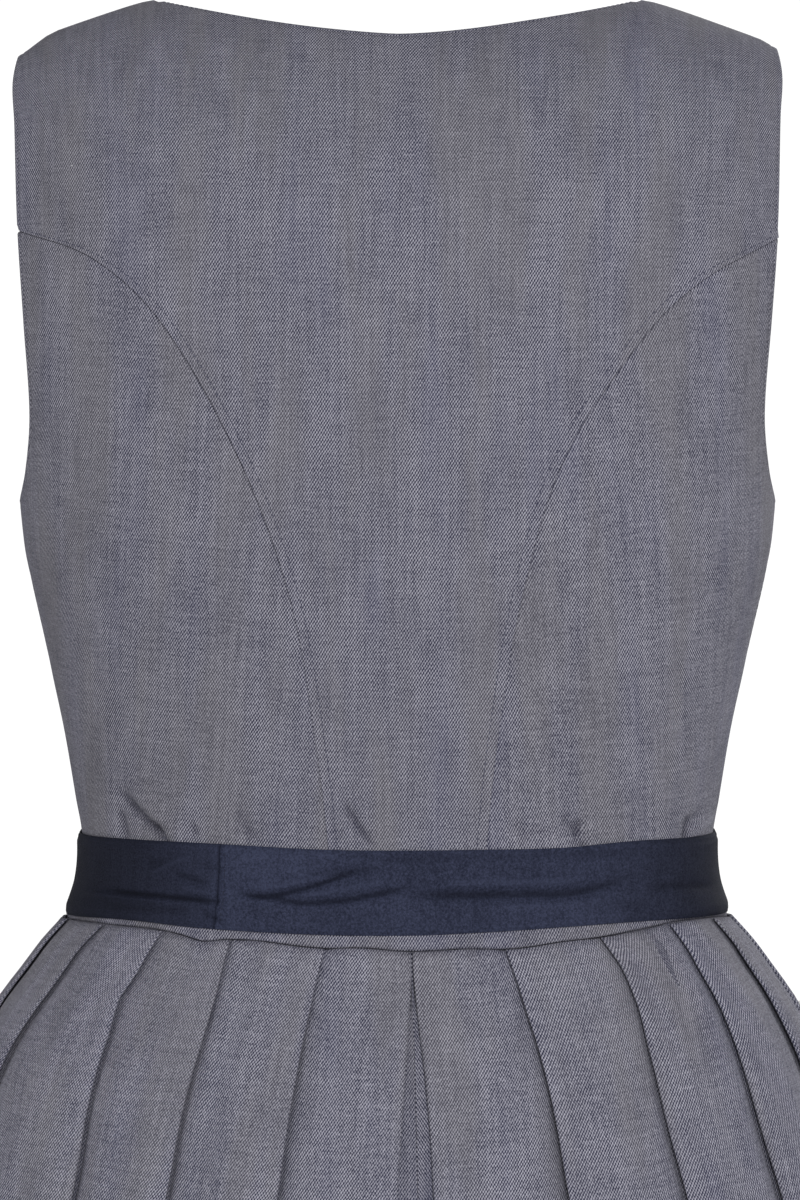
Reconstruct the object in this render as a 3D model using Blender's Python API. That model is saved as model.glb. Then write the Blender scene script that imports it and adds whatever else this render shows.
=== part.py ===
"""A sleeveless dirndl: princess-seamed bodice, knife-pleated skirt and a belt, worn and hollow.

Frame: metres, +Z up. The wearer faces -Y, so the back is at +Y and the wearer's left is at +X.
The origin is midway between the two neck points, where the straps rest on the shoulders.
Sizes and heights below are in millimetres, angles in degrees. A place on the body is an angle
round it, 0 at centre back, 90 at the wearer's left side, 180 at centre front, and a height.
"""

import math

import bmesh
import bpy
from mathutils import Vector

MM = 0.001

# Cloth
BODICE_WALL = 1.6
SKIRT_WALL = 1.2
BELT_WALL = 2.0
SEAM_GAP = 0.3

# An edge is drawn in square to itself, but where cells lean or narrow only within these shares
LEAN_LEAST = 0.25
CELL_SHARE = 0.4

# Body inside the bodice: height, half width, back depth, front depth, squareness of the section
TORSO = (
    (-420, 151.0, 100.0, 102.0, 2.25),
    (-402, 145.4, 97.5, 100.0, 2.25),
    (-385, 139.9, 95.0, 98.0, 2.25),
    (-366, 138.9, 94.0, 98.0, 2.25),
    (-350, 141.6, 94.5, 99.5, 2.25),
    (-316, 147.4, 97.5, 104.0, 2.3),
    (-280, 155.3, 101.0, 109.0, 2.35),
    (-245, 163.0, 103.5, 110.0, 2.4),
    (-219, 166.0, 104.5, 108.0, 2.4),
    (-195, 168.0, 105.0, 105.0, 2.4),
    (-160, 174.0, 104.5, 100.0, 2.4),
    (-110, 180.0, 103.0, 95.0, 2.4),
    (-50, 185.0, 100.0, 90.0, 2.4),
    (40, 190.0, 96.0, 86.0, 2.4),
)

# Bust, shaped by the front princess seams
BUST_SIDE = 84.0
BUST_HEIGHT = -242.0
BUST_RISE = 13.0
BUST_REACH = 52.0

# Shoulders: the cloth rolls over a ridge that falls outwards from the neck points
NECK_HALF = 107.0
RIDGE_START = 104.0
RIDGE_FALL = 0.36
RIDGE_ROUND = 8.0
RIDGE_RISE = 4.0
RIDGE_DEPTH = 6.0
BACK_ROLL = 110.0
FRONT_ROLL = 130.0
SHOULDER_END = 164.5
SEAM_FORWARD = 0.12

# Necklines: depth below the neck points at the centre
BACK_NECK_DROP = 16.4
BACK_NECK_POWER = 1.5
FRONT_NECK_DROP = 165.0
FRONT_NECK_SQUARENESS = (2.6, 2.2)

# Armholes: height, half width at the back edge, half width at the front edge
ARMHOLE = (
    (-219, 165.7, 165.7),
    (-205, 162.0, 160.0),
    (-180, 159.3, 152.5),
    (-140, 161.7, 149.5),
    (-100, 164.4, 152.0),
    (-55, 166.1, 158.5),
    (-37, 167.4, 162.5),
    (-22, SHOULDER_END, SHOULDER_END),
)
UNDERARM = -219.0
TIP_DROP = 7.0

# Rows over the shoulders: shares of the way up the back. The neck points lie at a share of the
# way from the centre to the armhole. A panel's outside is judged from a point inside it, lower
# by a drop.
UPPER_STEPS = (0.14, 0.3, 0.46, 0.62, 0.76, 0.88, 0.96, 1.0)
NECK_SHARE = 0.645
NECK_COLUMNS = (0.3, 0.56, 0.78, 0.92, 1.0)
STRAP_COLUMNS = (0.33, 0.67, 1.0)
INSIDE_DROP = 50.0

# Columns of the other bodice panels
SIDE_STEPS = 7
FRONT_STEPS = 8

# Where the upper rows of a centre front start: angles round the neckline from its lap corner
FRONT_FAN = (0.0, 3.0, 10.0, 19.0, 28.0, 37.0, 46.0, 55.0, 63.0, 71.0, 79.0, 85.0, 90.0)

# Belt
BELT_TOP = -366.0
BELT_MIDDLE = -384.0
BELT_BOTTOM = -401.6
BELT_PIECING = 42.0
BELT_LAP_START = 132.0
BELT_LAP_END = 147.0
BELT_LAP_REST = 5.0
BELT_LAP_EASE = 10.0
BELT_STEP = 5.0

# Heights of the rows that every bodice panel shares, and rows from the underarm to a seam's tip
BODICE_ROWS = (BELT_BOTTOM, BELT_MIDDLE, BELT_TOP, -345.0, -318.0, -288.0, -262.0, -239.0, UNDERARM)
ROWS_ABOVE = 6
FRONT_SIDE_ROWS = 8
LAP_LEVEL = 3

# Back princess seams, waist to armhole: x, height. The two differ, as on the real dress.
BACK_SEAM_LEFT = (
    (26.0, -407.0),
    (29.6, -365.0),
    (35.1, -318.0),
    (45.6, -258.0),
    (66.9, -199.0),
    (98.9, -143.5),
    (129.5, -114.5),
    (162.9, -101.0),
)
BACK_SEAM_RIGHT = (
    (-36.0, -407.0),
    (-38.1, -365.0),
    (-42.9, -318.0),
    (-52.9, -258.0),
    (-70.5, -199.0),
    (-103.2, -149.8),
    (-129.5, -124.3),
    (-164.0, -104.0),
)

# Front princess seams, waist to armhole: x, height
FRONT_SEAM = (
    (58.0, -405.0),
    (61.0, -365.0),
    (71.0, -318.0),
    (83.0, -258.0),
    (91.0, -215.0),
    (108.0, -176.0),
    (128.0, -147.0),
    (149.0, -128.0),
)

# Waist seam: height at the sides and how much lower it lies at centre back
WAIST_SIDE = -403.0
WAIST_BACK_DIP = 6.0
WAIST_FRONT_DIP = 2.0
WAIST_TUCK = 0.6

# Front lap, wearer's right over left, and its buttons
LAP_HALF = 10.0
LAP_GAP = 0.6
LAP_LIFT = BODICE_WALL + LAP_GAP
LAP_FULL = 16.0
LAP_EASE = 32.0
LAP_BELT_FULL = 34.0
LAP_BELT_EASE = 46.0
BUTTON_COUNT = 7
BUTTON_RADIUS = 7.5
BUTTON_THICKNESS = 3.2
BUTTON_TOP = -182.0
BUTTON_BOTTOM = -350.0
BUTTON_SEAT = 0.8
BUTTON_SIDES = 12

# Half a button's section, from its dished middle over the rim to its back: radius, height
BUTTON_PROFILE = (
    (0.62, 0.72),
    (0.78, 1.0),
    (0.92, 1.0),
    (1.0, 0.6),
    (0.9, 0.0),
)

# Skirt: drop below the waist seam, half width, back depth, front depth, squareness
SKIRT = (
    (0.0, 148.0, 99.0, 101.0, 2.25),
    (10.0, 157.0, 103.5, 104.5, 2.25),
    (20.0, 164.4, 108.5, 108.0, 2.2),
    (36.0, 175.6, 117.0, 115.0, 2.2),
    (60.0, 188.0, 127.5, 124.0, 2.2),
    (90.0, 199.0, 138.0, 133.0, 2.2),
    (125.0, 209.5, 150.0, 143.0, 2.2),
    (200.0, 226.0, 166.0, 157.0, 2.15),
    (350.0, 249.0, 192.0, 181.0, 2.1),
    (500.0, 271.0, 218.0, 205.0, 2.1),
    (650.0, 292.0, 243.0, 229.0, 2.1),
)
SKIRT_ROWS = (0.0, 9.0, 20.0, 40.0, 75.0, 125.0, 200.0, 320.0, 470.0, 650.0)

# Edge of each knife pleat, both sides of centre back: angle at the waist, angle low down
LEFT_FOLDS = (
    (-3.4, 1.2),
    (17.8, 20.7),
    (38.5, 35.3),
    (52.0, 50.0),
    (66.5, 69.5),
    (82.0, 85.0),
    (99.0, 100.0),
    (115.0, 116.0),
    (131.0, 132.0),
    (147.0, 148.0),
    (163.0, 163.0),
)
RIGHT_FOLDS = (
    (-3.6, -6.8),
    (-25.7, -30.0),
    (-45.6, -47.2),
    (-60.0, -62.0),
    (-73.6, -74.5),
    (-88.0, -89.0),
    (-103.0, -104.0),
    (-118.0, -119.0),
    (-133.0, -134.0),
    (-148.0, -149.0),
    (-163.0, -163.0),
)
BACK_SEAM_ANGLE = -3.5
FOLD_SETTLE = 150.0
UNDERLAY_SHARE = 0.82
UNDERLAY_LEAST = 7.0
UNDERLAY_MOST = 0.9
CENTRE_LEAST = 0.6
EDGE_CLEAR = 0.3
FRONT_FACE_SHARE = 0.25

# Room between the layers of a pleat: drop, layer spacing, depth of the face at the next edge
PLEAT_DEPTH = (
    (0.0, 1.75, 3.6),
    (36.0, 2.1, 5.0),
    (125.0, 2.8, 8.0),
    (350.0, 4.0, 14.0),
    (650.0, 5.5, 20.0),
)
FACE_BEND = 1.8
CORNER_LEAST = 0.6
FACE_STEPS = (0.34, 0.68, 1.0)

# Colours from the cloth, belt and buttons: colour, roughness, metallic
FINISHES = {
    "twill": ((0.165, 0.162, 0.205, 1.0), 0.9, 0.0),
    "navy": ((0.03, 0.036, 0.068, 1.0), 0.75, 0.0),
    "horn": ((0.09, 0.075, 0.07, 1.0), 0.45, 0.0),
}


def along(table, column, key):
    """A column of a table at a value of its first column, on a smooth curve through the rows."""
    rows = sorted(table)
    last = len(rows) - 1
    if key <= rows[0][0]:
        return rows[0][column]
    if key >= rows[last][0]:
        return rows[last][column]
    i = max(k for k in range(last) if rows[k][0] <= key)

    def slope(k):
        before, after = rows[max(k - 1, 0)], rows[min(k + 1, last)]
        return (after[column] - before[column]) / (after[0] - before[0])

    width = rows[i + 1][0] - rows[i][0]
    t = (key - rows[i][0]) / width
    return (
        rows[i][column] * (1 + 2 * t) * (1 - t) ** 2
        + rows[i + 1][column] * t * t * (3 - 2 * t)
        + slope(i) * width * t * (1 - t) ** 2
        - slope(i + 1) * width * t * t * (1 - t)
    )


def seam_rows(table):
    """Places on a smooth curve through a seam's rows of (x, height): the seam's lower end, the
    heights that all panels share, and then evenly up to its tip."""
    numbered = [(float(k), *row) for k, row in enumerate(table)]
    last = len(table) - 1
    steps = [0.0]
    for height in BODICE_ROWS:
        low, high = 0.0, float(last)
        for _ in range(40):
            middle = (low + high) / 2
            if along(numbered, 2, middle) < height:
                low = middle
            else:
                high = middle
        steps.append(low)
    start = steps[-1]
    steps += [start + (last - start) * (k + 1) / ROWS_ABOVE for k in range(ROWS_ABOVE)]
    return [(along(numbered, 1, s), along(numbered, 2, s)) for s in steps]


def mix(a, b, share):
    return a + (b - a) * share


def ease(value):
    """0 to 1 with soft ends."""
    t = min(max(value, 0.0), 1.0)
    return t * t * (3 - 2 * t)


def ridge(x):
    """Height of the shoulder ridge."""
    out = abs(x) - RIDGE_START
    if out < 0:
        return RIDGE_RISE * (0.5 + 0.5 * math.cos(math.pi * x / RIDGE_START))
    return -RIDGE_FALL * (math.hypot(out, RIDGE_ROUND) - RIDGE_ROUND)


def section(row, angle):
    """The point of a squarish oval at an angle: row is half width, back and front depth, power."""
    half, back, front, power = row
    turn = math.radians(angle)
    depth = back if math.cos(turn) >= 0 else front
    reach = (abs(math.sin(turn)) / half) ** power + (abs(math.cos(turn)) / depth) ** power
    radius = reach ** (-1 / power)
    return radius * math.sin(turn), radius * math.cos(turn)


def torso_row(z):
    return tuple(along(TORSO, c, z) for c in (1, 2, 3, 4))


def bust(x, y, z):
    """How far the front stands out over the bust."""
    if y >= 0:
        return 0.0
    side = (abs(x) - BUST_SIDE) / BUST_REACH
    up = (z - BUST_HEIGHT) / BUST_REACH
    return BUST_RISE * math.exp(-side * side - up * up) * min(1.0, -y / 60.0)


def torso(angle, z):
    """A point of the bodice's outer face."""
    x, y = section(torso_row(z), angle)
    y -= bust(x, y, z)
    roll = BACK_ROLL if y >= RIDGE_DEPTH else FRONT_ROLL
    below = (ridge(x) - z) / roll
    if below < 1:
        y = RIDGE_DEPTH + (y - RIDGE_DEPTH) * math.sqrt(max(0.0, 1 - (1 - below) ** 2))
    return Vector((x, y, z))


def angle_at(x, z, back=True):
    """The angle at which the torso's section at a height has a given x."""
    half, back_depth, front_depth, power = torso_row(z)
    share = min(abs(x) / half, 1.0)
    depth = (back_depth if back else -front_depth) * (1 - share**power) ** (1 / power)
    return math.degrees(math.atan2(x, depth))


def roll_point(x, turn):
    """A point over the shoulder: turn 90 is the ridge, less is behind it, more in front."""
    back = turn <= 90
    roll = BACK_ROLL if back else FRONT_ROLL
    z = ridge(x) - roll * (1 - math.sin(math.radians(turn)))
    return torso(angle_at(x, z, back), z)


def turn_at(x, z, back=True):
    """The turn over the shoulder at which the cloth has a given height."""
    roll = BACK_ROLL if back else FRONT_ROLL
    sine = max(-1.0, min(1.0, 1 - (ridge(x) - z) / roll))
    turn = math.degrees(math.asin(sine))
    return turn if back else 180 - turn


def armhole(z, back=True):
    return along(ARMHOLE, 1 if back else 2, z)


def waist(angle):
    """Height of the waist seam: lowest at centre back, a little low at centre front."""
    towards_back = math.cos(math.radians(angle))
    dip = WAIST_BACK_DIP if towards_back >= 0 else WAIST_FRONT_DIP
    return WAIST_SIDE - dip * towards_back**2


def back_neck(x):
    return -BACK_NECK_DROP * (1 - (abs(x) / NECK_HALF) ** BACK_NECK_POWER)


def front_neck(turn):
    """A point of the scooped front neckline, x and height, at 0 to 90 degrees from the centre."""
    wide, deep = FRONT_NECK_SQUARENESS
    x = NECK_HALF * math.sin(math.radians(turn)) ** (2 / wide)
    z = -FRONT_NECK_DROP * math.cos(math.radians(turn)) ** (2 / deep)
    return x, z


def normal(place, u, v, step_u, step_v):
    """Outward direction of a surface place(u, v), from small steps to either side."""
    along_u = place(u + step_u, v) - place(u - step_u, v)
    along_v = place(u, v + step_v) - place(u, v - step_v)
    across = along_u.cross(along_v).normalized()
    here = place(u, v)
    inside = Vector((here.x / 2, RIDGE_DEPTH, here.z - INSIDE_DROP))
    return across if across.dot(here - inside) > 0 else -across


def torso_spot(angle, z):
    """A point of the bodice's outer face and the direction out of it."""
    return torso(angle, z), normal(torso, angle, z, 0.5, 0.5)


def roll_spot(x, turn):
    """The same over the shoulder, where turn 90 is the ridge."""
    return roll_point(x, turn), normal(roll_point, x, turn, 0.5, 0.5)


def inset(rows, start=True, end=True, bottom=False, top=False):
    """Draws chosen edges of a grid of spots in by half a seam gap, measured square to the edge."""
    points = [[spot[0] for spot in row] for row in rows]
    moved = [[spot[0].copy() for spot in row] for row in rows]
    high, wide = len(rows), len(rows[0])

    def draw(i, j, di, dj):
        point = points[i][j]
        inward = (points[i + di][j + dj] - point).normalized()
        before = points[max(i - abs(dj), 0)][max(j - abs(di), 0)]
        after = points[min(i + abs(dj), high - 1)][min(j + abs(di), wide - 1)]
        edge = (after - before).normalized()
        square = max((inward - edge * inward.dot(edge)).length, LEAN_LEAST)
        reach = (points[i + di][j + dj] - point).length
        moved[i][j] += inward * min(SEAM_GAP / 2 / square, CELL_SHARE * reach)

    for i in range(high):
        if start:
            draw(i, 0, 0, 1)
        if end:
            draw(i, wide - 1, 0, -1)
    for j in range(wide):
        if bottom:
            draw(0, j, 1, 0)
        if top:
            draw(high - 1, j, -1, 0)
    return [
        [(point, spot[1]) for point, spot in zip(*pair)] for pair in zip(moved, rows)
    ]


def material(name):
    found = bpy.data.materials.get(name)
    if found:
        return found
    colour, roughness, metallic = FINISHES[name]
    made = bpy.data.materials.new(name)
    made.use_nodes = True
    shader = made.node_tree.nodes["Principled BSDF"]
    shader.inputs["Base Color"].default_value = colour
    shader.inputs["Roughness"].default_value = roughness
    shader.inputs["Metallic"].default_value = metallic
    return made


def cloth(name, faces, finish):
    """A wall of cloth between two faces, each a grid drawn to rows of points, with a rim."""
    work = bmesh.new()
    for rows in faces:
        high, wide = len(rows), len(rows[0])
        made = bmesh.ops.create_grid(work, x_segments=wide - 1, y_segments=high - 1, size=1.0)
        for vertex in made["verts"]:
            i = round((vertex.co.y + 1) / 2 * (high - 1))
            j = round((vertex.co.x + 1) / 2 * (wide - 1))
            vertex.co = rows[i][j] * MM
    bmesh.ops.bridge_loops(work, edges=[e for e in work.edges if e.is_boundary])
    bmesh.ops.recalc_face_normals(work, faces=work.faces[:])
    mesh = bpy.data.meshes.new(name)
    work.to_mesh(mesh)
    work.free()
    mesh.shade_smooth()
    mesh.materials.append(material(finish))
    piece = bpy.data.objects.new(name, mesh)
    COLLECTION.objects.link(piece)
    return piece


def wall(name, rows, thickness, finish, lift=lambda point: 0.0):
    """A wall whose outer face lies on a grid of spots, moved out by lift, and is thickened inwards."""
    outer = [[p + n * lift(p) for p, n in row] for row in rows]
    inner = [[p + n * (lift(p) - thickness) for p, n in row] for row in rows]
    return cloth(name, (outer, inner), finish)


def seam_turn():
    """The turn at which the shoulder seam lies, a little in front of the ridge."""
    return 90 + math.degrees(math.asin(SEAM_FORWARD))


def armhole_x(turn, back):
    """Half width at the armhole's edge for a turn over the shoulder."""
    roll = BACK_ROLL if turn <= 90 else FRONT_ROLL
    fall = roll * (1 - math.sin(math.radians(turn)))
    x = SHOULDER_END
    for _ in range(3):
        x = armhole(ridge(x) - fall, back)
    return x


def back_centre():
    """Centre back with both straps: rows up the princess seams, then up and over the shoulders."""
    half = [NECK_SHARE * k for k in NECK_COLUMNS] + [mix(NECK_SHARE, 1.0, k) for k in STRAP_COLUMNS]
    shares = [-s for s in reversed(half)] + [0.0] + half
    rows = []
    sides = zip(seam_rows(BACK_SEAM_LEFT), seam_rows(BACK_SEAM_RIGHT))
    for k, ((xl, zl), (xr, zr)) in enumerate(sides):
        left, right = angle_at(xl, zl), angle_at(xr, zr)
        row = []
        for share in shares:
            part = (share + 1) / 2
            angle, z = mix(right, left, part), mix(zr, zl, part)
            row.append(torso_spot(angle, waist(angle) if k == 0 else z))
        rows.append(row)
    base = [spot[0] for spot in rows[-1]]
    for share in UPPER_STEPS:
        row = []
        for start, place in zip(base, shares):
            side = math.copysign(1, place)
            out = (abs(place) - NECK_SHARE) / (1 - NECK_SHARE)
            if out < -1e-6:
                x_top = NECK_HALF * place / NECK_SHARE
                turn_top = turn_at(x_top, back_neck(x_top))
            else:
                x_top = side * mix(NECK_HALF, SHOULDER_END, out)
                turn_top = seam_turn()
            turn = mix(turn_at(start.x, start.z), turn_top, share)
            x = mix(start.x, x_top, share)
            if abs(place) == 1.0:
                x = side * armhole_x(turn, True)
            row.append(roll_spot(x, turn))
        rows.append(row)
    return wall("back_centre", inset(rows, bottom=True, top=True), BODICE_WALL, "twill")


def side_panel(name, seam, back, side):
    """Side back or side front: from the princess seam to the side seam and the armhole."""
    steps = SIDE_STEPS
    first, last = len(BODICE_ROWS), len(seam) - 1
    rows = []
    for k, (x, z) in enumerate(seam):
        inner = angle_at(x, z, back)
        if k <= first:
            outer_z, outer = z, 90.0 * side
        else:
            tip = seam[last][1] - TIP_DROP
            outer_z = mix(UNDERARM, tip, (k - first) / (last - first))
            outer = angle_at(side * armhole(outer_z, back), outer_z, back)
        row = []
        for step in range(steps + 1):
            angle = mix(inner, outer, step / steps)
            height = waist(angle) if k == 0 else mix(z, outer_z, step / steps)
            row.append(torso_spot(angle, height))
        rows.append(row)
    return wall(name, inset(rows, bottom=True), BODICE_WALL, "twill")


def lap(point):
    """How far the wearer's right front is lifted, so that it lies over the left one."""
    return LAP_LIFT * ease((point.x + LAP_EASE) / (LAP_EASE - LAP_FULL))


def front_centre(name, side):
    """One centre front with its strap. Rows run from the lap, and higher up from the scooped
    neckline, out to the princess seam, and from its tip on to the armhole."""
    steps = FRONT_STEPS
    seam = seam_rows(FRONT_SEAM)
    count = len(seam) + FRONT_SIDE_ROWS
    corner = count - len(FRONT_FAN)
    turn_low = turn_at(*seam[-1], False)
    rows = []
    for k in range(count):
        if k < corner:
            x_start, z_start = -LAP_HALF, seam[k][1]
            if k > LAP_LEVEL:
                share = (k - LAP_LEVEL) / (corner - LAP_LEVEL)
                z_start = mix(seam[LAP_LEVEL][1], -FRONT_NECK_DROP, share)
        else:
            x_start, z_start = front_neck(FRONT_FAN[k - corner])
            x_start = -LAP_HALF if k == corner else x_start
        row = []
        if k < len(seam):
            start = angle_at(side * x_start, z_start, False) % 360
            end = angle_at(side * seam[k][0], seam[k][1], False) % 360
            for step in range(steps + 1):
                angle, z = mix(start, end, step / steps), mix(z_start, seam[k][1], step / steps)
                row.append(torso_spot(angle, waist(angle) if k == 0 else z))
        else:
            share = (k + 1 - len(seam)) / FRONT_SIDE_ROWS
            start = seam_turn() if share == 1 else turn_at(x_start, z_start, False)
            end = mix(turn_low, seam_turn(), share)
            x_end = armhole_x(end, False)
            for step in range(steps + 1):
                x = side * mix(x_start, x_end, step / steps)
                row.append(roll_spot(x, mix(start, end, step / steps)))
        rows.append(row)
    rows = inset(rows, start=False, bottom=True, top=True)
    lift = lap if side < 0 else (lambda point: 0.0)
    return wall(name, rows, BODICE_WALL, "twill", lift)


def belt_lift(angle, outer):
    """How far the belt's outer face stands off the bodice: more over the lap and at its end."""
    turned = angle % 360
    x = torso(turned, BELT_TOP).x
    over_lap = 0.0
    if 90 < turned < 270:
        over_lap = LAP_LIFT * ease((LAP_BELT_EASE - abs(x)) / (LAP_BELT_EASE - LAP_BELT_FULL))
    on_top = 0.0
    if outer and turned > 90:
        on_top = (BELT_WALL + SEAM_GAP) * ease(
            (BELT_LAP_END + BELT_LAP_REST + BELT_LAP_EASE - turned) / BELT_LAP_EASE
        )
    return SEAM_GAP + BELT_WALL + over_lap + on_top


def belt(name, start, end, outer):
    """A length of the belt, on the bodice from one angle round to another."""
    steps = round((end - start) / BELT_STEP)
    angles = [mix(start, end, k / steps) for k in range(steps + 1)]
    rows = []
    for z in (BELT_BOTTOM, BELT_MIDDLE, BELT_TOP):
        row = []
        for angle in angles:
            point, out = torso_spot(angle, z)
            row.append((point + out * belt_lift(angle, outer), out))
        rows.append(row)
    return wall(name, inset(rows), BELT_WALL, "navy")


class Ring:
    """The skirt's section at a drop below the waist seam, measured along its length."""

    COUNT = 360

    def __init__(self, drop):
        self.drop = drop
        row = tuple(along(SKIRT, c, drop) for c in (1, 2, 3, 4))
        self.points = [Vector(section(row, a)) for a in range(-180, self.COUNT - 179)]
        self.lengths = [0.0]
        for a, b in zip(self.points, self.points[1:]):
            self.lengths.append(self.lengths[-1] + (b - a).length)

    def length_at(self, angle):
        spot = angle + 180
        k = min(int(spot), self.COUNT - 1)
        return mix(self.lengths[k], self.lengths[k + 1], spot - k)

    def place(self, length, offset):
        """The point that far along the ring, moved out by offset, and its angle."""
        low, high = 0, self.COUNT
        while high - low > 1:
            middle = (low + high) // 2
            if self.lengths[middle] <= length:
                low = middle
            else:
                high = middle
        span = self.lengths[low + 1] - self.lengths[low]
        share = (length - self.lengths[low]) / span
        point = self.points[low].lerp(self.points[low + 1], share)
        before, after = self.points[max(low - 1, 0)], self.points[min(low + 2, self.COUNT)]
        here = (self.points[low + 1] - self.points[low]).normalized()
        tangent = here.lerp((after - before).normalized(), 0.5).normalized()
        normal = Vector((-tangent.y, tangent.x))
        return point + normal * offset, low + share - 180


def fold_angles(folds, drop):
    settled = ease(drop / FOLD_SETTLE)
    return [mix(waist_angle, low_angle, settled) for waist_angle, low_angle in folds]


def pleat_path(folds, side, drop):
    """The cloth's middle line at one height, from the centre back seam to centre front:
    pairs of length from centre back and offset from the outline, negative inwards."""
    ring, top = Ring(drop), Ring(0.0)
    spacing, depth = (along(PLEAT_DEPTH, c, drop) for c in (1, 2))
    middle = ring.length_at(BACK_SEAM_ANGLE)
    front = ring.length_at(180.0 * side)
    places = [side * (ring.length_at(a) - middle) for a in fold_angles(folds, drop)]
    places = [max(places[0], CENTRE_LEAST)] + places[1:]
    tops = [side * top.length_at(a) for a in fold_angles(folds, 0.0)]
    tops.append(side * top.length_at(180.0 * side))
    places.append(side * (front - middle))
    path = [(SEAM_GAP / 2, -2 * spacing), ((places[0] + SEAM_GAP) / 2, -2 * spacing)]

    def inward(share):
        return depth * max(share, 0.0) ** FACE_BEND

    for k in range(len(folds)):
        face = places[k + 1] - places[k]
        top_face = tops[k + 1] - tops[k]
        if k == 0:
            cloth_length = 2 * UNDERLAY_SHARE * top_face
            under = (cloth_length - places[0]) / 2
            fall = 2 * spacing
        else:
            visible = places[k] - places[k - 1]
            top_visible = tops[k] - tops[k - 1]
            kept = UNDERLAY_SHARE * min(top_visible, top_face)
            under = (top_visible + 2 * kept - visible) / 2
            fall = depth
        under = max(UNDERLAY_LEAST, min(under, face * UNDERLAY_MOST))
        start = places[k]
        if k:
            path.append((start, -fall))
        half_way = max(inward(0.5 * under / face) + 2 * spacing, 0.5 * fall + spacing)
        reach = inward(under / face)
        path.append((start + under * 0.5, -half_way))
        path.append((start + under, -reach - 2 * spacing))
        path.append((start + under, -reach - spacing))
        path.append((start + under * 0.5, -inward(0.5 * under / face) - spacing))
        path.append((start + EDGE_CLEAR, -spacing))
        path.append((start + EDGE_CLEAR, 0.0))
        last = k == len(folds) - 1
        for share in FACE_STEPS[:-1]:
            path.append((start + face * share, -inward(share) * (FRONT_FACE_SHARE if last else 1.0)))
        if last:
            path.append((places[k + 1] - SEAM_GAP / 2, -FRONT_FACE_SHARE * depth))
    return ring, middle, path


def parallel(line, distance):
    """A flat line of points moved sideways, square to itself and with its corners kept."""
    moved = []
    last = len(line) - 1
    for k, point in enumerate(line):
        before = (point - line[max(k - 1, 0)]).normalized()
        after = (line[min(k + 1, last)] - point).normalized()
        before, after = (before, after) if 0 < k < last else (before + after,) * 2
        across = Vector((-(before + after).y, (before + after).x)).normalized()
        corner = max(across.dot(Vector((-after.y, after.x))), CORNER_LEAST)
        moved.append(point + across * (distance / corner))
    return moved


def skirt_half(name, folds, side):
    """One width of the skirt: a wall along the pleats' line, row over row down to the hem."""
    faces = ([], [])
    for drop in reversed(SKIRT_ROWS):
        ring, middle, path = pleat_path(folds, side, drop)
        spots = [ring.place(middle + side * length, offset) for length, offset in path]
        line = [spot for spot, angle in spots]
        for face, distance in zip(faces, (SKIRT_WALL / 2, -SKIRT_WALL / 2)):
            moved = parallel(line, distance)
            heights = [waist(angle) - WAIST_TUCK - drop for spot, angle in spots]
            face.append([Vector((p.x, p.y, z)) for p, z in zip(moved, heights)])
    return cloth(name, faces, "twill")


def button(number):
    """A plain turned button lying on the front lap."""
    share = number / (BUTTON_COUNT - 1)
    z = mix(BUTTON_TOP, BUTTON_BOTTOM, share)
    seat, facing = torso_spot(180.0, z)
    seat = seat + facing * LAP_LIFT
    work = bmesh.new()
    steps = BUTTON_SIDES
    rings = []
    for width, rise in BUTTON_PROFILE:
        radius, height = BUTTON_RADIUS * width * MM, BUTTON_THICKNESS * rise * MM
        made = bmesh.ops.create_circle(work, segments=steps, radius=radius)["verts"]
        bmesh.ops.translate(work, verts=made, vec=(0, 0, height))
        rings.append(made)
    for upper, lower in zip(rings, rings[1:]):
        for k in range(steps):
            after = (k + 1) % steps
            work.faces.new((upper[k], lower[k], lower[after], upper[after]))
    work.faces.new(rings[0])
    work.faces.new(reversed(rings[-1]))
    bmesh.ops.recalc_face_normals(work, faces=work.faces[:])
    name = f"button_{number + 1}"
    mesh = bpy.data.meshes.new(name)
    work.to_mesh(mesh)
    work.free()
    mesh.shade_smooth()
    mesh.materials.append(material("horn"))
    piece = bpy.data.objects.new(name, mesh)
    piece.location = (seat + facing * BUTTON_SEAT) * MM
    piece.rotation_mode = "QUATERNION"
    piece.rotation_quaternion = facing.to_track_quat("Z", "Y")
    COLLECTION.objects.link(piece)
    return piece


for leftover in list(bpy.data.objects):
    bpy.data.objects.remove(leftover)
COLLECTION = bpy.data.collections.new("dirndl")
bpy.context.scene.collection.children.link(COLLECTION)


def main():
    front_seam = seam_rows(FRONT_SEAM)
    back_centre()
    side_panel("side_back_left", seam_rows(BACK_SEAM_LEFT), True, 1)
    side_panel("side_back_right", seam_rows(BACK_SEAM_RIGHT), True, -1)
    side_panel("front_side_left", front_seam, False, 1)
    side_panel("front_side_right", [(-x, z) for x, z in front_seam], False, -1)
    front_centre("front_centre_left", 1)
    front_centre("front_centre_right", -1)
    belt("belt_short", BELT_PIECING, BELT_LAP_END, False)
    belt("belt_long", BELT_LAP_START, BELT_PIECING + 360, True)
    skirt_half("skirt_left", LEFT_FOLDS, 1)
    skirt_half("skirt_right", RIGHT_FOLDS, -1)
    for number in range(BUTTON_COUNT):
        button(number)


main()
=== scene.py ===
# %% [markdown]
# # A sleeveless dirndl, seen from the back
#
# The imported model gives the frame: millimetre-true walls of cloth that stand where the real
# pieces are. This script dresses that frame. Each piece of cloth is made again as a finer, thin
# skin on the same curves, with its seams, stitches and creases, and gets a woven finish.

# %% Load the frame
import math

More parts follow.
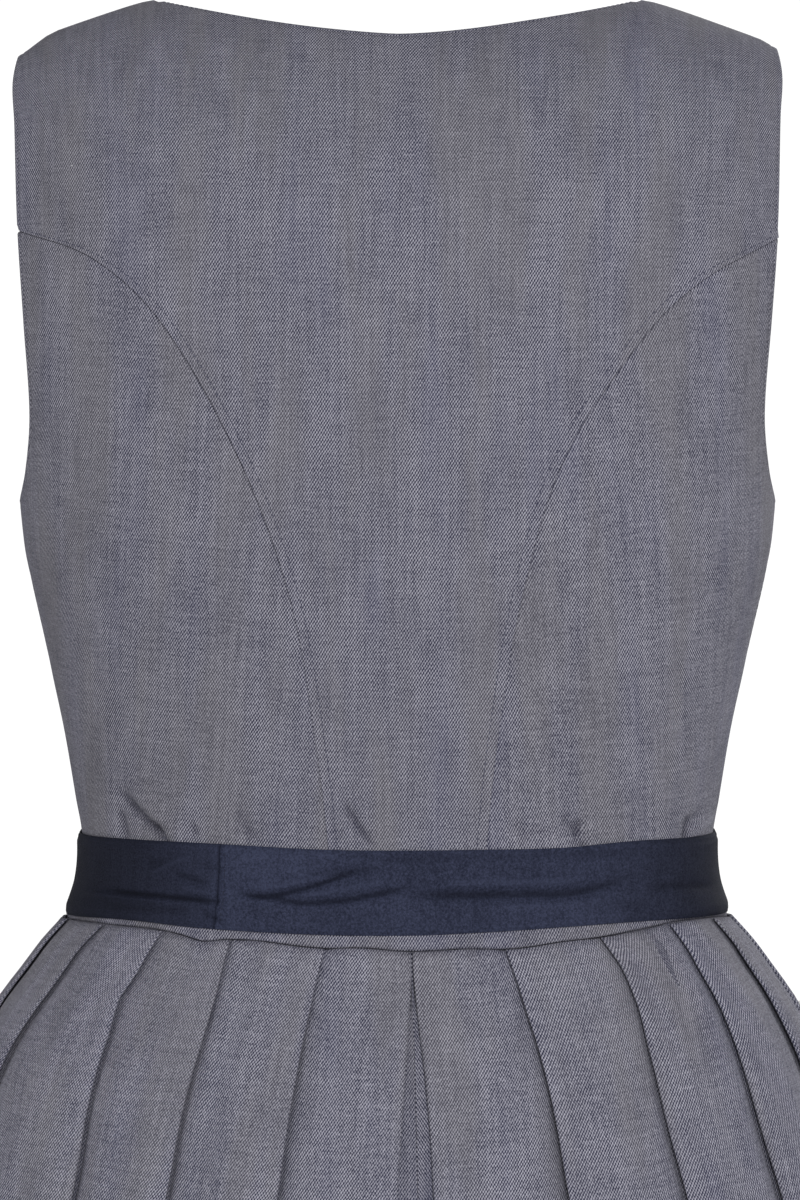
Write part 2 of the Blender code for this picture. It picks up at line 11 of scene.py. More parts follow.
import bpy
import numpy as np
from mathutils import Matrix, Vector


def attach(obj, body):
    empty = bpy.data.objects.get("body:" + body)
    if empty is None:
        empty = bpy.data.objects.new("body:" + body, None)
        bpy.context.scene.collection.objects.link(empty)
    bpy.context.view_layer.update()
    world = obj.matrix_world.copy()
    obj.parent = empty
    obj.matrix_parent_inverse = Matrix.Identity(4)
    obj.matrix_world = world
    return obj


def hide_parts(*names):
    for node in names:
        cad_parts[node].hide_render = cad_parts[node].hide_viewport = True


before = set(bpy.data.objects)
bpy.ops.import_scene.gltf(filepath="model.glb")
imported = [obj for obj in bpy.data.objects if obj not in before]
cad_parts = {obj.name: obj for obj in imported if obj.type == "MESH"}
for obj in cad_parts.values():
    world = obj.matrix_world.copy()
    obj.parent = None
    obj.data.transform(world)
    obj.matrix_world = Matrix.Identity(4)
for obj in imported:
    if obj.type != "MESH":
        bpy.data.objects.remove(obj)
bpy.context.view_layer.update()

# %% [markdown]
# ## Camera
#
# The picture was taken from three metres behind the dress with a long lens, a little above the
# waist and tipped down by under three degrees. A long lens keeps both sides nearly parallel.

# %% Camera
LENS = 204.8  # millimetres
CAMERA_PLACE = (-0.0011, 3.0, -0.12)
TIPPED_DOWN = 2.729  # degrees


def put(name, data):
    """An object for a mesh, a lamp or a camera, in the scene."""
    made = bpy.data.objects.new(name, data)
    bpy.context.scene.collection.objects.link(made)
    return made


lens = bpy.data.cameras.new("camera")
lens.lens = LENS
lens.clip_start, lens.clip_end = 0.1, 60.0
camera = put("camera", lens)
camera.location = CAMERA_PLACE
camera.rotation_euler = (math.radians(90 - TIPPED_DOWN), 0.0, math.radians(180))
bpy.context.scene.camera = camera
print("camera at", CAMERA_PLACE, "with a lens of", LENS, "mm")

# %% [markdown]
# ## Light
#
# Plain studio light: a pale room that is bright all round at eye level and dim overhead and
# underfoot, one soft lamp above the camera's line for the back of the dress, and a larger one
# in front, so that the front isn't left in shade.

# %% Light and room
ROOM_LEVEL = (0.17, 0.34)  # where the bright band ends: how steeply a direction points up or down
ROOM_LIGHT = (1.06, 0.16)  # strength of the light in the band, and beyond it
bpy.context.scene.view_settings.view_transform = "Standard"


def soft_lamp(name, place, aim, size, power, tint=(1.0, 1.0, 1.0)):
    lamp = bpy.data.lights.new(name, "AREA")
    lamp.shape, lamp.size, lamp.size_y = "RECTANGLE", size, size
    lamp.energy, lamp.color = power, tint
    made = put(name, lamp)
    made.location = place
    made.rotation_euler = (Vector(aim) - Vector(place)).to_track_quat("-Z", "Y").to_euler()
    print("lamp", name, power, "W")


soft_lamp("key", (-0.3, 2.2, 0.62), (0, 0, -0.4), 0.7, 30.5, (0.97, 0.98, 1.0))
soft_lamp("fill", (-1.6, -3.0, 1.2), (0, 0, -0.5), 2.0, 62)

room = bpy.data.worlds.new("room")
room.use_nodes = True
nodes, links = room.node_tree.nodes, room.node_tree.links
direction = nodes.new("ShaderNodeTexCoord")
height = nodes.new("ShaderNodeSeparateXYZ")
links.new(direction.outputs["Generated"], height.inputs[0])
level = nodes.new("ShaderNodeMath")
level.operation = "ABSOLUTE"
links.new(height.outputs["Z"], level.inputs[0])
wall = nodes.new("ShaderNodeMapRange")
wall.interpolation_type = "SMOOTHSTEP"
for socket, value in enumerate(ROOM_LEVEL + ROOM_LIGHT, 1):
    wall.inputs[socket].default_value = value
links.new(level.outputs[0], wall.inputs[0])
links.new(wall.outputs[0], nodes["Background"].inputs["Strength"])
nodes["Background"].inputs["Color"].default_value = (1.0, 1.0, 1.0, 1.0)
bpy.context.scene.world = room

# %% [markdown]
# ## Shader maths as plain expressions
#
# A finish is a net of nodes. Writing `1 - mask * 0.4` is easier to read than four nodes and
# their links, so a small class wraps a socket: each operator adds its Math node.


# %% A wrapped socket, and a finish that adds nodes
class Wire:
    """A socket that can be calculated with."""

    def __init__(self, finish, socket):
        self.finish, self.socket = finish, socket

    def math(self, operation, *values):
        return self.finish.node("ShaderNodeMath", {"operation": operation}, [self, *values])

    def __add__(self, other):
        return self.math("ADD", other)

    def __mul__(self, other):
        return self.math("MULTIPLY", other)

    def __sub__(self, other):
        return self.math("SUBTRACT", other)

    def __rsub__(self, other):
        return self.finish.node("ShaderNodeMath", {"operation": "SUBTRACT"}, [other, self])

    def __truediv__(self, other):
        return self.math("DIVIDE", other)

    __radd__ = __add__
    __rmul__ = __mul__


class Finish:
    """A material, its shader, and one way to add any other node."""

    def __init__(self, name, roughness=0.8, **constants):
        self.material = bpy.data.materials.new(name)
        self.material.use_nodes = True
        self.tree = self.material.node_tree
        self.shader = self.tree.nodes["Principled BSDF"]
        self.shader.inputs["Roughness"].default_value = roughness
        for socket, value in constants.items():
            self.shader.inputs[socket.replace("_", " ")].default_value = value

    def node(self, kind, settings=None, sockets=(), out=0):
        """Adds a node: its settings first, then the values or links of its sockets."""
        made = self.tree.nodes.new(kind)
        for setting, value in (settings or {}).items():
            setattr(made, setting, value)
        pairs = sockets.items() if isinstance(sockets, dict) else enumerate(sockets)
        for socket, value in pairs:
            if isinstance(value, Wire):
                self.tree.links.new(value.socket, made.inputs[socket])
            else:
                made.inputs[socket].default_value = value
        return Wire(self, made.outputs[out])

    def set(self, socket, value):
        """Links a value to a socket of the shader."""
        self.tree.links.new(value.socket, self.shader.inputs[socket])

    def kept(self, name, out="Vector"):
        """What the mesh keeps at each point under a name."""
        return self.node("ShaderNodeAttribute", {"attribute_name": name}, out=out)

    def parts(self, vector):
        split = self.node("ShaderNodeSeparateXYZ", sockets=[vector])
        return [Wire(self, split.socket.node.outputs[k]) for k in range(3)]

    def vector(self, x, y, z=0.0):
        return self.node("ShaderNodeCombineXYZ", sockets=[x, y, z])

    def noise(self, vector, scale=1.0, detail=2.0, roughness=0.5):
        return self.node(
            "ShaderNodeTexNoise",
            sockets={"Vector": vector, "Scale": scale, "Detail": detail, "Roughness": roughness},
        )

    def blend(self, share, a, b, way="MIX"):
        """A colour between two."""
        settings = {"data_type": "RGBA", "blend_type": way, "clamp_factor": True}
        return self.node("ShaderNodeMix", settings, {0: share, 6: a, 7: b}, out=2)

    def spread(self, value, low, high, to_low=0.0, to_high=1.0):
        """A value's range stretched to another, softly and without overshoot."""
        settings = {"interpolation_type": "SMOOTHSTEP"}
        return self.node("ShaderNodeMapRange", settings, [value, low, high, to_low, to_high])

    def bump(self, height, distance, strength=1.0):
        sockets = {"Height": height, "Distance": distance, "Strength": strength}
        self.set("Normal", self.node("ShaderNodeBump", sockets=sockets))


def colour(red, green, blue):
    """A colour as it is seen on a screen, 0 to 255, for a shader."""
    return tuple(((c / 255 + 0.055) / 1.055) ** 2.4 for c in (red, green, blue)) + (1.0,)


# %% [markdown]
# ## Two-tone twill
#
# The cloth is woven from navy warp and pale lilac weft. In a twill each warp yarn goes over two
# weft yarns and under two, one step later in each row, which draws fine slanting lines. The
# mesh keeps each point's place on the flat cloth, so the weave follows the cut of each piece.
# Yarns are spun unevenly: slow noise along each yarn gives the soft streaks both ways.

# %% The twill
FLOATS = (0.00124, 0.00194)  # how far apart the slanting lines are, across and along


def streaks(finish, u, v, offset):
    """Uneven yarns: long soft streaks down the warp and across the weft, 0 to 1 each."""
    down = finish.noise(finish.vector(u * 420, v * 26, offset), 1.0, 3.0, 0.65)
    over = finish.noise(finish.vector(u * 60, v * 620, offset + 7), 1.0, 3.0, 0.65)
    return down, over


def twill(name, navy, pale):
    finish = Finish(name, 0.88, Sheen_Weight=0.04, Sheen_Roughness=0.6, Specular_IOR_Level=0.15)
    u, v, offset = finish.parts(finish.kept("cloth"))
    cloth = finish.vector(u, v, offset)

    # Slanting lines, a little wavy, crossed by a weaker set that slants the other way
    waver = finish.noise(cloth, 140.0, 2.0) - 0.5
    across, along = (u + waver * 0.0005) / FLOATS[0], (v + waver * 0.0004) / FLOATS[1]
    rise = ((across + along) * (2 * math.pi)).math("SINE")
    fall = ((across - along * 0.93) * (2 * math.pi)).math("SINE")
    floats = rise * 0.64 + fall * 0.36

    # How much pale yarn shows: the lines come and go in patches, with streaks and grain
    down, over = streaks(finish, u, v, offset)
    patches = finish.noise(finish.vector(u * 40, v * 28, offset), 1.0, 3.0, 0.6)
    grain = finish.noise(finish.vector(u * 1500, v * 1100, offset), 1.0, 1.0) - 0.5
    share = floats * (patches * 0.62 + 0.15) + 0.34 + grain * 0.9
    share = share + (down - 0.5) * 0.34 + (over - 0.5) * 0.34 + (patches - 0.5) * 0.14
    tone = finish.blend(finish.spread(share, -0.1, 1.1), navy, pale)

    # Warm grey and bluish bands at random: painted sheen, for the twill looking warmer or bluer as
    # it turns
    bands = finish.noise(finish.vector(u * 42, v * 7, offset + 3), 1.0, 2.0)
    tone = finish.blend(finish.spread(bands, 0.46, 0.66) * 0.26, tone, colour(116, 113, 112))
    tone = finish.blend(finish.spread(bands, 0.46, 0.3) * 0.14, tone, colour(92, 94, 124))

    # Seams and stitch lines are darker. Creases, the insides of pleats and the skirt just under
    #     # the waist seam get painted shade, raised folds a painted highlight. A few knots of pale
    #     yarn show
    near = finish.kept("edge", "Fac")
    tone = finish.blend(finish.spread(near, 0.9, 0.1) * 0.5, tone, colour(38, 38, 54))
    tone = finish.blend(finish.spread(near, 1.0, 2.8) * 0.3, tone, pale)
    knots = finish.node(
        "ShaderNodeTexVoronoi", {"voronoi_dimensions": "3D"}, {"Vector": cloth, "Scale": 30.0},
        out="Distance",
    )
    tone = finish.blend(finish.spread(knots, 0.013, 0.007) * 0.75, tone, colour(210, 210, 212))
    finish.set("Base Color", tone)
    finish.set("Roughness", 0.9 - floats * 0.06)
    finish.bump(floats + down * 0.8 + over * 0.5, 0.00022, 0.5)
    return finish.material


twill_finish = twill("twill_two_tone", colour(36, 38, 59), colour(181, 179, 190))
# The skirt's twill is a paler copy in both yarns: painted light, for the skirt catching more light
skirt_lit_finish = twill("twill_two_tone_skirt_lit", colour(40, 42, 64), colour(193, 191, 203))
print("finishes", twill_finish.name, skirt_lit_finish.name, "with lines", FLOATS, "m apart")

# %% [markdown]
# ## Lining, belt cloth, thread and horn
#
# The lining is plain cotton. The belt is a smoother, closely woven navy cloth. Thread is
# twisted, and the buttons are turned from horn with soft streaks.


# %% Lining and belt cloth
def plain_weave(name, dark, light, yarn, roughness, sheen, specular, depth, side_shade=0.0):
    """Yarns over and under one by one. The last argument is how far a painted shade darkens the
    sides.
    """
    finish = Finish(name, roughness, Sheen_Weight=sheen, Sheen_Roughness=0.4,
                    Specular_IOR_Level=specular)
    u, v, offset = finish.parts(finish.kept("cloth"))
    cloth = finish.vector(u, v, offset)
    warp, weft = u / yarn, v / yarn
    over = (warp.math("FLOOR") + weft.math("FLOOR")).math("FLOORED_MODULO", 2.0)
    down, across = streaks(finish, u, v, offset)
    patches = finish.noise(cloth, 18.0, 3.0, 0.6)
    grain = finish.noise(finish.vector(u * 1300, v * 1100, offset), 1.0, 2.0, 0.7) - 0.5
    share = over * 0.18 + grain * 1.3 + (down - 0.5) * 0.3 + (across - 0.5) * 0.16
    share = share + patches * 0.5 + 0.1
    tone = finish.blend(finish.spread(share, 0.0, 1.0), dark, light)
    # Seams are darker; wrinkles and creases get painted shade, raised wrinkles a painted highlight
    near = finish.kept("edge", "Fac")
    shade = tuple(c / 3 for c in dark[:3]) + (1.0,)
    tone = finish.blend(finish.spread(near, 0.8, 0.1) * 0.75, tone, shade)
    tone = finish.blend(finish.spread(near, 1.0, 2.8) * 0.4, tone, light)
    # Painted shade: darker away from centre back, towards the sides
    away = finish.spread(u.math("ABSOLUTE"), 0.06, 0.17) * side_shade
    finish.set("Base Color", finish.blend(away, tone, colour(16, 16, 19)))
    finish.set("Roughness", roughness + (patches - 0.5) * 0.14)
    ridge = (warp.math("FRACT") * math.pi).math("SINE") * over
    cross = (weft.math("FRACT") * math.pi).math("SINE") * (1 - over)
    finish.bump(ridge + cross, depth, 0.6)
    return finish.material


lining_finish = plain_weave(
    "cotton_lining", colour(84, 84, 98), colour(118, 117, 128), yarn=0.0004, roughness=0.9,
    sheen=0.05, specular=0.2, depth=0.0001,
)
# The belt cloth darkens towards the sides: painted shade, as the belt turns away from the light
navy_finish = plain_weave(
    "navy_belt_cloth", colour(30, 33, 48), colour(69, 74, 97), yarn=0.0003, roughness=0.8,
    sheen=0.0, specular=0.06, depth=0.00008, side_shade=0.66,
)


# %% Thread and horn
def thread(name, tone):
    finish = Finish(name, 0.6, Specular_IOR_Level=0.35)
    u, v, offset = finish.parts(finish.kept("cloth"))
    twist = ((u * 2600 + v * 4200) * math.pi).math("SINE")
    finish.set("Base Color", finish.blend(
        finish.spread(twist, -1.0, 1.0), tone, tuple(c * 1.7 for c in tone[:3]) + (1.0,)
    ))
    finish.bump(twist, 0.00005, 0.6)
    return finish.material


seam_thread = thread("thread_grey", colour(66, 67, 84))
belt_thread = thread("thread_navy", colour(26, 28, 44))


def horn(name):
    finish = Finish(name, 0.32, Coat_Weight=0.2, Coat_Roughness=0.25)
    place = finish.node("ShaderNodeTexCoord", out="Object")
    x, y, z = finish.parts(place)
    veins = finish.noise(finish.vector(x * 90, y * 420, z * 90), 1.0, 4.0, 0.6)
    clouds = finish.noise(place, 140.0, 2.0)
    tone = finish.blend(finish.spread(veins, 0.35, 0.7), colour(38, 31, 29), colour(96, 80, 70))
    finish.set("Base Color", finish.blend(clouds * 0.4, tone, colour(60, 50, 46)))
    finish.set("Roughness", 0.25 + veins * 0.25)
    finish.bump(veins, 0.0001, 0.3)
    return finish.material


horn_finish = horn("horn_button")
made = (lining_finish, navy_finish, seam_thread, belt_thread, horn_finish)
print("finishes", ", ".join(finish.name for finish in made))

# %% [markdown]
# ## The body inside
#
# A bodice is fitted, so its cloth lies on one smooth form. That form is worked out from short
# tables: at each height its half width, its depth to the back and to the front, and how square
# the oval is. Sizes are in millimetres from here on, and angles go round from centre back.

# %% The torso in numbers
# Rows: height, half width, depth to the back and to the front, squareness
TORSO = (
    (-420, 151, 100, 102, 2.25), (-402, 145.4, 97.5, 100, 2.25), (-385, 139.9, 95, 98, 2.25),
    (-366, 138.9, 94, 98, 2.25), (-350, 141.6, 94.5, 99.5, 2.25),
    (-316, 147.4, 97.5, 104, 2.3), (-280, 155.3, 101, 109, 2.35), (-245, 163, 103.5, 110, 2.4),
    (-219, 166, 104.5, 108, 2.4), (-195, 168, 105, 105, 2.4), (-160, 174, 104.5, 100, 2.4),
    (-110, 180, 103, 95, 2.4), (-50, 185, 100, 90, 2.4), (40, 190, 96, 86, 2.4),
)
BUST = dict(side=84.0, height=-242.0, rise=13.0, reach=52.0)
NECK_HALF, SHOULDER_END = 107.0, 165.5
RIDGE_DEPTH, BACK_ROLL, FRONT_ROLL, SEAM_FORWARD = 6.0, 110.0, 130.0, 0.12
UNDERARM, WAIST_LEVEL = -219.0, -402.4


# %% Small helpers
def smooth(table, column, key):
    """A table's column at any values of its first column, on a smooth curve through the rows."""
    rows = np.array(sorted(table), float)
    x, y = rows[:, 0], rows[:, column]
    after = np.minimum(np.arange(len(x)) + 1, len(x) - 1)
    before = np.maximum(np.arange(len(x)) - 1, 0)
    slope = (y[after] - y[before]) / (x[after] - x[before])
    key = np.clip(key, x[0], x[-1])
    i = np.clip(np.searchsorted(x, key, side="right") - 1, 0, len(x) - 2)
    width = x[i + 1] - x[i]
    t = (key - x[i]) / width
    return (
        y[i] * (1 + 2 * t) * (1 - t) ** 2
        + y[i + 1] * t * t * (3 - 2 * t)
        + slope[i] * width * t * (1 - t) ** 2
        - slope[i + 1] * width * t * t * (1 - t)
    )


def ease(value):
    """0 below zero, 1 above one, and a smooth rise between."""
    t = np.clip(value, 0.0, 1.0)
    return t * t * (3 - 2 * t)


def mix(a, b, share):
    return a + (b - a) * share


def bell(value, width):
    """1 at zero, falling smoothly to nothing about two widths away."""
    return np.exp(-((value / width) ** 2))


def lengths(points, axis=0):
    """Length along a line of points, or along each line of a grid of them, from its start."""
    step = np.linalg.norm(np.diff(points, axis=axis), axis=-1)
    pad = [(0, 0)] * step.ndim
    pad[axis] = (1, 0)
    return np.pad(np.cumsum(step, axis), pad)


def unit(values, least=0.0):
    """Directions of length 1. A least length guards those that may be nothing."""
    return values / (np.linalg.norm(values, axis=-1, keepdims=True) + least)


# %% The torso as a surface
def ridge(x):
    """Height of the shoulder ridge: it falls outwards from the neck, more at the very ends."""
    neck_point = 104.0
    out = np.abs(x) - neck_point
    neck = 2 + 2 * np.cos(math.pi * x / neck_point)
    corner = 4.8 * ease((x - 149) / 18) + 1.4 * ease((-x - 157) / 9)
    return np.where(out < 0, neck, -0.36 * (np.hypot(out, 8.0) - 8.0)) - corner


def section(row, angle):
    """x and y on an oval, squarer for a higher power."""
    half, back, front, power = row
    turn = np.radians(angle)
    depth = np.where(np.cos(turn) >= 0, back, front)
    reach = (np.abs(np.sin(turn)) / half) ** power + (np.abs(np.cos(turn)) / depth) ** power
    radius = reach ** (-1 / power)
    return radius * np.sin(turn), radius * np.cos(turn)


def torso(angle, z):
    """Points of the bodice's face."""
    angle, z = np.broadcast_arrays(np.asarray(angle, float), np.asarray(z, float))
    x, y = section([smooth(TORSO, c, z) for c in (1, 2, 3, 4)], angle)
    side = (np.abs(x) - BUST["side"]) / BUST["reach"]
    up = (z - BUST["height"]) / BUST["reach"]
    y = y - BUST["rise"] * np.exp(-side**2 - up**2) * np.clip(-y / 60.0, 0.0, 1.0)
    roll = np.where(y >= RIDGE_DEPTH, BACK_ROLL, FRONT_ROLL)
    below = np.clip((ridge(x) - z) / roll, 0.0, 1.0)
    y = RIDGE_DEPTH + (y - RIDGE_DEPTH) * np.sqrt(np.maximum(0.0, 1 - (1 - below) ** 2))
    return np.stack((x, y, z), -1)


def angle_at(x, z, back=True):
    """The angle round the torso at which it has a given x."""
    half, back_depth, front_depth, power = (smooth(TORSO, c, z) for c in (1, 2, 3, 4))
    share = np.minimum(np.abs(x) / half, 1.0)
    depth = np.where(back, back_depth, -front_depth) * (1 - share**power) ** (1 / power)
    return np.degrees(np.arctan2(x, depth))


def over_shoulder(x, turn):
    """Points over the shoulder: turn 90 is the ridge, less is behind it, more in front."""
    back = turn <= 90
    roll = np.where(back, BACK_ROLL, FRONT_ROLL)
    z = ridge(x) - roll * (1 - np.sin(np.radians(turn)))
    return torso(angle_at(x, z, back), z)


def turn_at(x, z, back=True):
    """The turn over the shoulder at which the cloth has a given height."""
    roll = BACK_ROLL if back else FRONT_ROLL
    turn = np.degrees(np.arcsin(np.clip(1 - (ridge(x) - z) / roll, -1.0, 1.0)))
    return turn if back else 180 - turn


print("round the waist", round(lengths(torso(np.arange(361), WAIST_LEVEL))[-1]), "mm")

# %% [markdown]
# ## Edges of the pieces
#
# Princess seams, armholes, necklines and the waist seam are curves on that form. The two back
# seams differ a little, as they do on the real dress. The waist seam dips at centre back and
# wavers where the gathers under it push it up.

# %% Seams, armhole, waist
# Seams: x and height. Waist: angle and height. Armhole: height, half width behind and in front
BACK_SEAM_LEFT = (
    (26, -410), (29.6, -365), (35.1, -318), (45.6, -258), (66.9, -199), (98.9, -142.5),
    (129.5, -113.5), (163.4, -101),
)
BACK_SEAM_RIGHT = (
    (-36, -410), (-38.1, -365), (-42.9, -318), (-52.9, -258), (-70.5, -199),
    (-103.2, -148.8), (-129.5, -123.3), (-164.4, -104),
)
FRONT_SEAM = (
    (58, -410), (61, -365), (71, -318), (83, -258), (91, -215), (108, -176), (128, -147),
    (149, -128),
)
WAIST_BEHIND = (
    (-90, -402.4), (-77, -399.8), (-67, -398.9), (-61, -399.6), (-55, -401.3),
    (-46, -403.7), (-37.5, -405.2), (-31, -407), (-26, -407.7), (-17, -407.4), (-7, -408.2),
    (-0.6, -408.2), (8.5, -406.9), (18.6, -407.1), (25.5, -406), (32, -404.5), (38, -404),
    (41.6, -404.6), (44.3, -405.3), (48, -403.5), (52, -401.8), (56.5, -401), (61, -400.8),
    (72, -400.8), (90, -402.4),
)
ARMHOLE = (
    (-219, 165.7, 165.7), (-205, 162, 160), (-180, 159.3, 152.5), (-140, 161.7, 149.5),
    (-100, 164.4, 152), (-55, 166.1, 158.5), (-37, 167.4, 162.5), (-22, 165.5, 165.5),
)


# %% A seam, the waist and the armhole
class Seam:
    """A curve through rows of (x, height), from the waist to the armhole."""

    def __init__(self, table, side=1):
        numbered = [(k, *row) for k, row in enumerate(table)]
        steps = np.linspace(0, len(table) - 1, 800)
        self.x, self.z = smooth(numbered, 1, steps) * side, smooth(numbered, 2, steps)
        self.start = np.searchsorted(self.z, UNDERARM)

    def at_height(self, z):
        return np.interp(z, self.z, self.x)

    def above(self, share):
        """x and height, a share of the way from the underarm's height to the tip."""
        spot = self.start + share * (len(self.x) - 1 - self.start)
        steps = np.arange(len(self.x))
        return np.interp(spot, steps, self.x), np.interp(spot, steps, self.z)


def waist(angle):
    """Height of the waist seam: as it shows behind, and a plain shallow dip in front."""
    angle = (np.asarray(angle, float) + 180) % 360 - 180
    front = WAIST_LEVEL - 2.2 * np.cos(np.radians(angle)) ** 2
    return np.where(np.abs(angle) > 90, front, smooth(WAIST_BEHIND, 1, angle))


def armhole(z, back=True):
    """Half width of the bodice at the armhole's edge."""
    return smooth(ARMHOLE, 1 if back else 2, z)


def armhole_x(turn, back):
    """Half width at the armhole's edge for a turn over the shoulder."""
    roll = np.where(turn <= 90, BACK_ROLL, FRONT_ROLL)
    fall = roll * (1 - np.sin(np.radians(turn)))
    x = SHOULDER_END
    for _ in range(4):
        x = armhole(ridge(x) - fall, back)
    return x


SEAM_TURN = 90 + math.degrees(math.asin(SEAM_FORWARD))
print("shoulder seam", round(SEAM_TURN - 90, 1), "degrees in front of the ridge")

# %% [markdown]
# ## Creases
#
# Fitted cloth still shows soft marks where it is squeezed: small dents above the belt, drag
# lines towards the armhole, and the belt's own wrinkles. Each is a line with a width, a depth
# and soft ends, and adds to how far the cloth stands out there.

# %% Creases along lines
def creases(points, table, back=True):
    """How far a list of creases moves each point."""
    x, z = points[..., 0], points[..., 2]
    lift = np.zeros_like(x)
    for x0, z0, x1, z1, bend, width, depth in table:
        start, way = np.array((x0, z0)), np.array((x1 - x0, z1 - z0))
        length = np.hypot(*way)
        way = way / length
        square = np.array((-way[1], way[0]))
        share = ((x - start[0]) * way[0] + (z - start[1]) * way[1]) / length
        off = (x - start[0]) * square[0] + (z - start[1]) * square[1]
        off = off - bend * np.sin(math.pi * np.clip(share, 0, 1))
        fade = ease(share / 0.35 + 0.15) * ease((1 - share) / 0.35 + 0.15)
        lift += depth * bell(off, width) * fade
    return np.where((points[..., 1] > 0) == back, lift, 0.0)


# Rows: x and height at both ends, bend, width, depth
BODICE_CREASES = (
    (121.5, -340.5, 100, -362, 1.3, 2.3, -1.9), (106, -355, 96.5, -367, 0.8, 1.9, -1.6),
    (115.5, -337.5, 96.6, -358.6, 1.4, 2.5, 1.2), (121, -349, 116, -366, 0.4, 1.8, -1.6),
    (90.1, -364, 86.6, -353, 1, 1.7, -1.4), (70, -345, 59, -364, 1, 3.6, -1.2),
    (57.8, -353.4, 49.2, -363.5, 0.5, 4, 0.7), (24, -342, 8, -366, 1.4, 1.9, -1.6),
    (26, -351, 18, -363, 0.5, 2, 0.9), (-77, -352, -79.6, -369, 0.2, 1.6, -2.1),
    (-69, -349, -78, -360, 0.5, 2.3, -1.2), (-81.5, -354.8, -83.2, -364.4, 0.2, 2, 0.9),
    (-55.7, -346.5, -61.7, -357.7, 0.6, 2.6, 0.9), (-47.6, -350.6, -60, -364.1, 0.8, 3.4, -1),
    (-123.8, -366, -126.6, -354, 0.8, 1.7, -1.8), (-125, -357, -133.5, -352.5, 0.5, 1.7, -1.2),
    (-128.9, -361.4, -138.1, -356.5, 0.3, 2.4, 1.3),
    (-21.5, -339.2, -18.1, -364.9, 0.5, 3.5, 0.5), (-30.9, -343.6, -34.3, -365, 0.3, 3.5, -0.6),
    (-1.1, -343.5, 0.6, -364.8, 0.3, 3.5, -0.5), (-95.3, -340.6, -91.9, -364.7, 0.5, 4.5, 0.7),
    (-108.5, -341.3, -106.8, -363.8, 0.5, 4.5, -0.6), (150, -170, 120, -205, 5, 9, 0.6),
    (-150, -180, -118, -212, -5, 9, 0.6), (158, -240, 140, -300, 3, 8, -0.6),
    (-160, -236, -142, -296, -3, 8, -0.6), (120, -60, 60, -95, 6, 16, 0.6),
    (-120, -58, -64, -92, -6, 16, 0.6),
)
FRONT_CREASES = (
    (118, -356, 84, -366, 2, 3, -0.9), (-112, -352, -80, -366, -2, 3.2, -0.8),
    (46, -366, 50, -346, 0, 4, -0.5), (-44, -366, -52, -344, 0, 4, 0.5),
    (22, -300, 60, -262, 4, 9, 0.6), (-20, -286, -58, -256, -4, 9, 0.6),
    (146, -205, 118, -236, 4, 8, -0.6), (-144, -208, -116, -240, -4, 8, -0.6),
)

# %% [markdown]
# ## From a grid to a piece of cloth
#
# Every piece is a grid of points. One side of the cloth lies on it and the other half a
# millimetre inside, with a rim between them, so that hems and openings show a real edge. Near
# a seam the cloth dips into it, and each point keeps its place on the flat cut for the weave.

# %% Distances on a grid
MM = 0.001
STITCH_IN, HEM_IN = 4.1, 1.6  # distance of stitches from a seam, and from a free edge
NEAR = (0.0, 0.35, 0.7, 1.1, HEM_IN, 2.3, 3.1, 3.7, STITCH_IN, 4.6, 5.6, 7.5)
STITCH_COLUMN, NECK_ROW = NEAR.index(STITCH_IN), -1 - NEAR.index(HEM_IN)
THICK = 0.7
FAR = 99.0  # stands for no edge near


def outward(points):
    """Directions square to a grid of points, away from the body."""
    square = unit(np.cross(np.gradient(points, axis=1), np.gradient(points, axis=0)), 1e-9)
    inside = points * np.array((0.5, 0.0, 1.0)) + np.array((0.0, RIDGE_DEPTH, -50.0))
    return square * np.sign(np.sum(square * (points - inside), axis=-1, keepdims=True))


def from_edges(points):
    """Distance of each point from the grid's four edges: start, end, bottom, top."""
    across, up = lengths(points, 1), lengths(points, 0)
    return across, across[:, -1:] - across, up, up[-1:] - up


# %% Places on the flat cloth
def flat_place(points):
    """Each point's place on the flat cloth: length round the body, and length up over it."""
    levels = np.linspace(-430, 30, 93)
    turns = np.arange(181.0)
    sizes = [smooth(TORSO, c, levels)[:, None] for c in (1, 2, 3, 4)]
    table = lengths(np.stack(section(sizes, turns[None, :]), -1), 1)
    x, y, z = points[..., 0], points[..., 1], points[..., 2]
    angle = np.clip(np.abs(angle_at(x, z, y.mean() > 0)), 0, 179.99)
    level = np.clip((z - levels[0]) / (levels[1] - levels[0]), 0, len(levels) - 1.001)
    low, share = level.astype(int), level % 1
    spot, part = angle.astype(int), angle % 1

    def read(row):
        return mix(table[row, spot], table[row, spot + 1], part)

    round_body = mix(read(low), read(low + 1), share) * np.sign(x)
    bends = np.linspace(0, math.pi / 2, 91)
    rise = np.cumsum(np.hypot(
        np.gradient(92 * np.cos(bends)), np.gradient(BACK_ROLL * np.sin(bends))
    ))
    bend = np.arcsin(np.clip(1 - (ridge(x) - z) / BACK_ROLL, 0, 1))
    return round_body, z + np.interp(bend, bends, rise) - BACK_ROLL * np.sin(bend)


def on_cloth(across, up, offset):
    """Places on the flat cloth in metres. Each piece's offset gives it its own bit of weave."""
    return np.stack((across * MM, up * MM, np.full_like(up, offset)), -1)


# %% A thin skin
def keep(mesh, name, values):
    """Keeps a number or a place at each point of a mesh, for its finish to read."""
    kind, field = ("FLOAT_VECTOR", "vector") if values.ndim == 2 else ("FLOAT", "value")
    kept = mesh.attributes.new(name, kind, "POINT")
    kept.data.foreach_set(field, values.astype(np.float32).ravel())


def smooth_mesh(name, verts, faces, cloth, finishes):
    """A mesh from points in millimetres."""
    mesh = bpy.data.meshes.new(name)
    mesh.from_pydata(verts * MM, [], faces)
    keep(mesh, "cloth", cloth)
    for finish in finishes:
        mesh.materials.append(finish)
    mesh.shade_smooth()
    return mesh


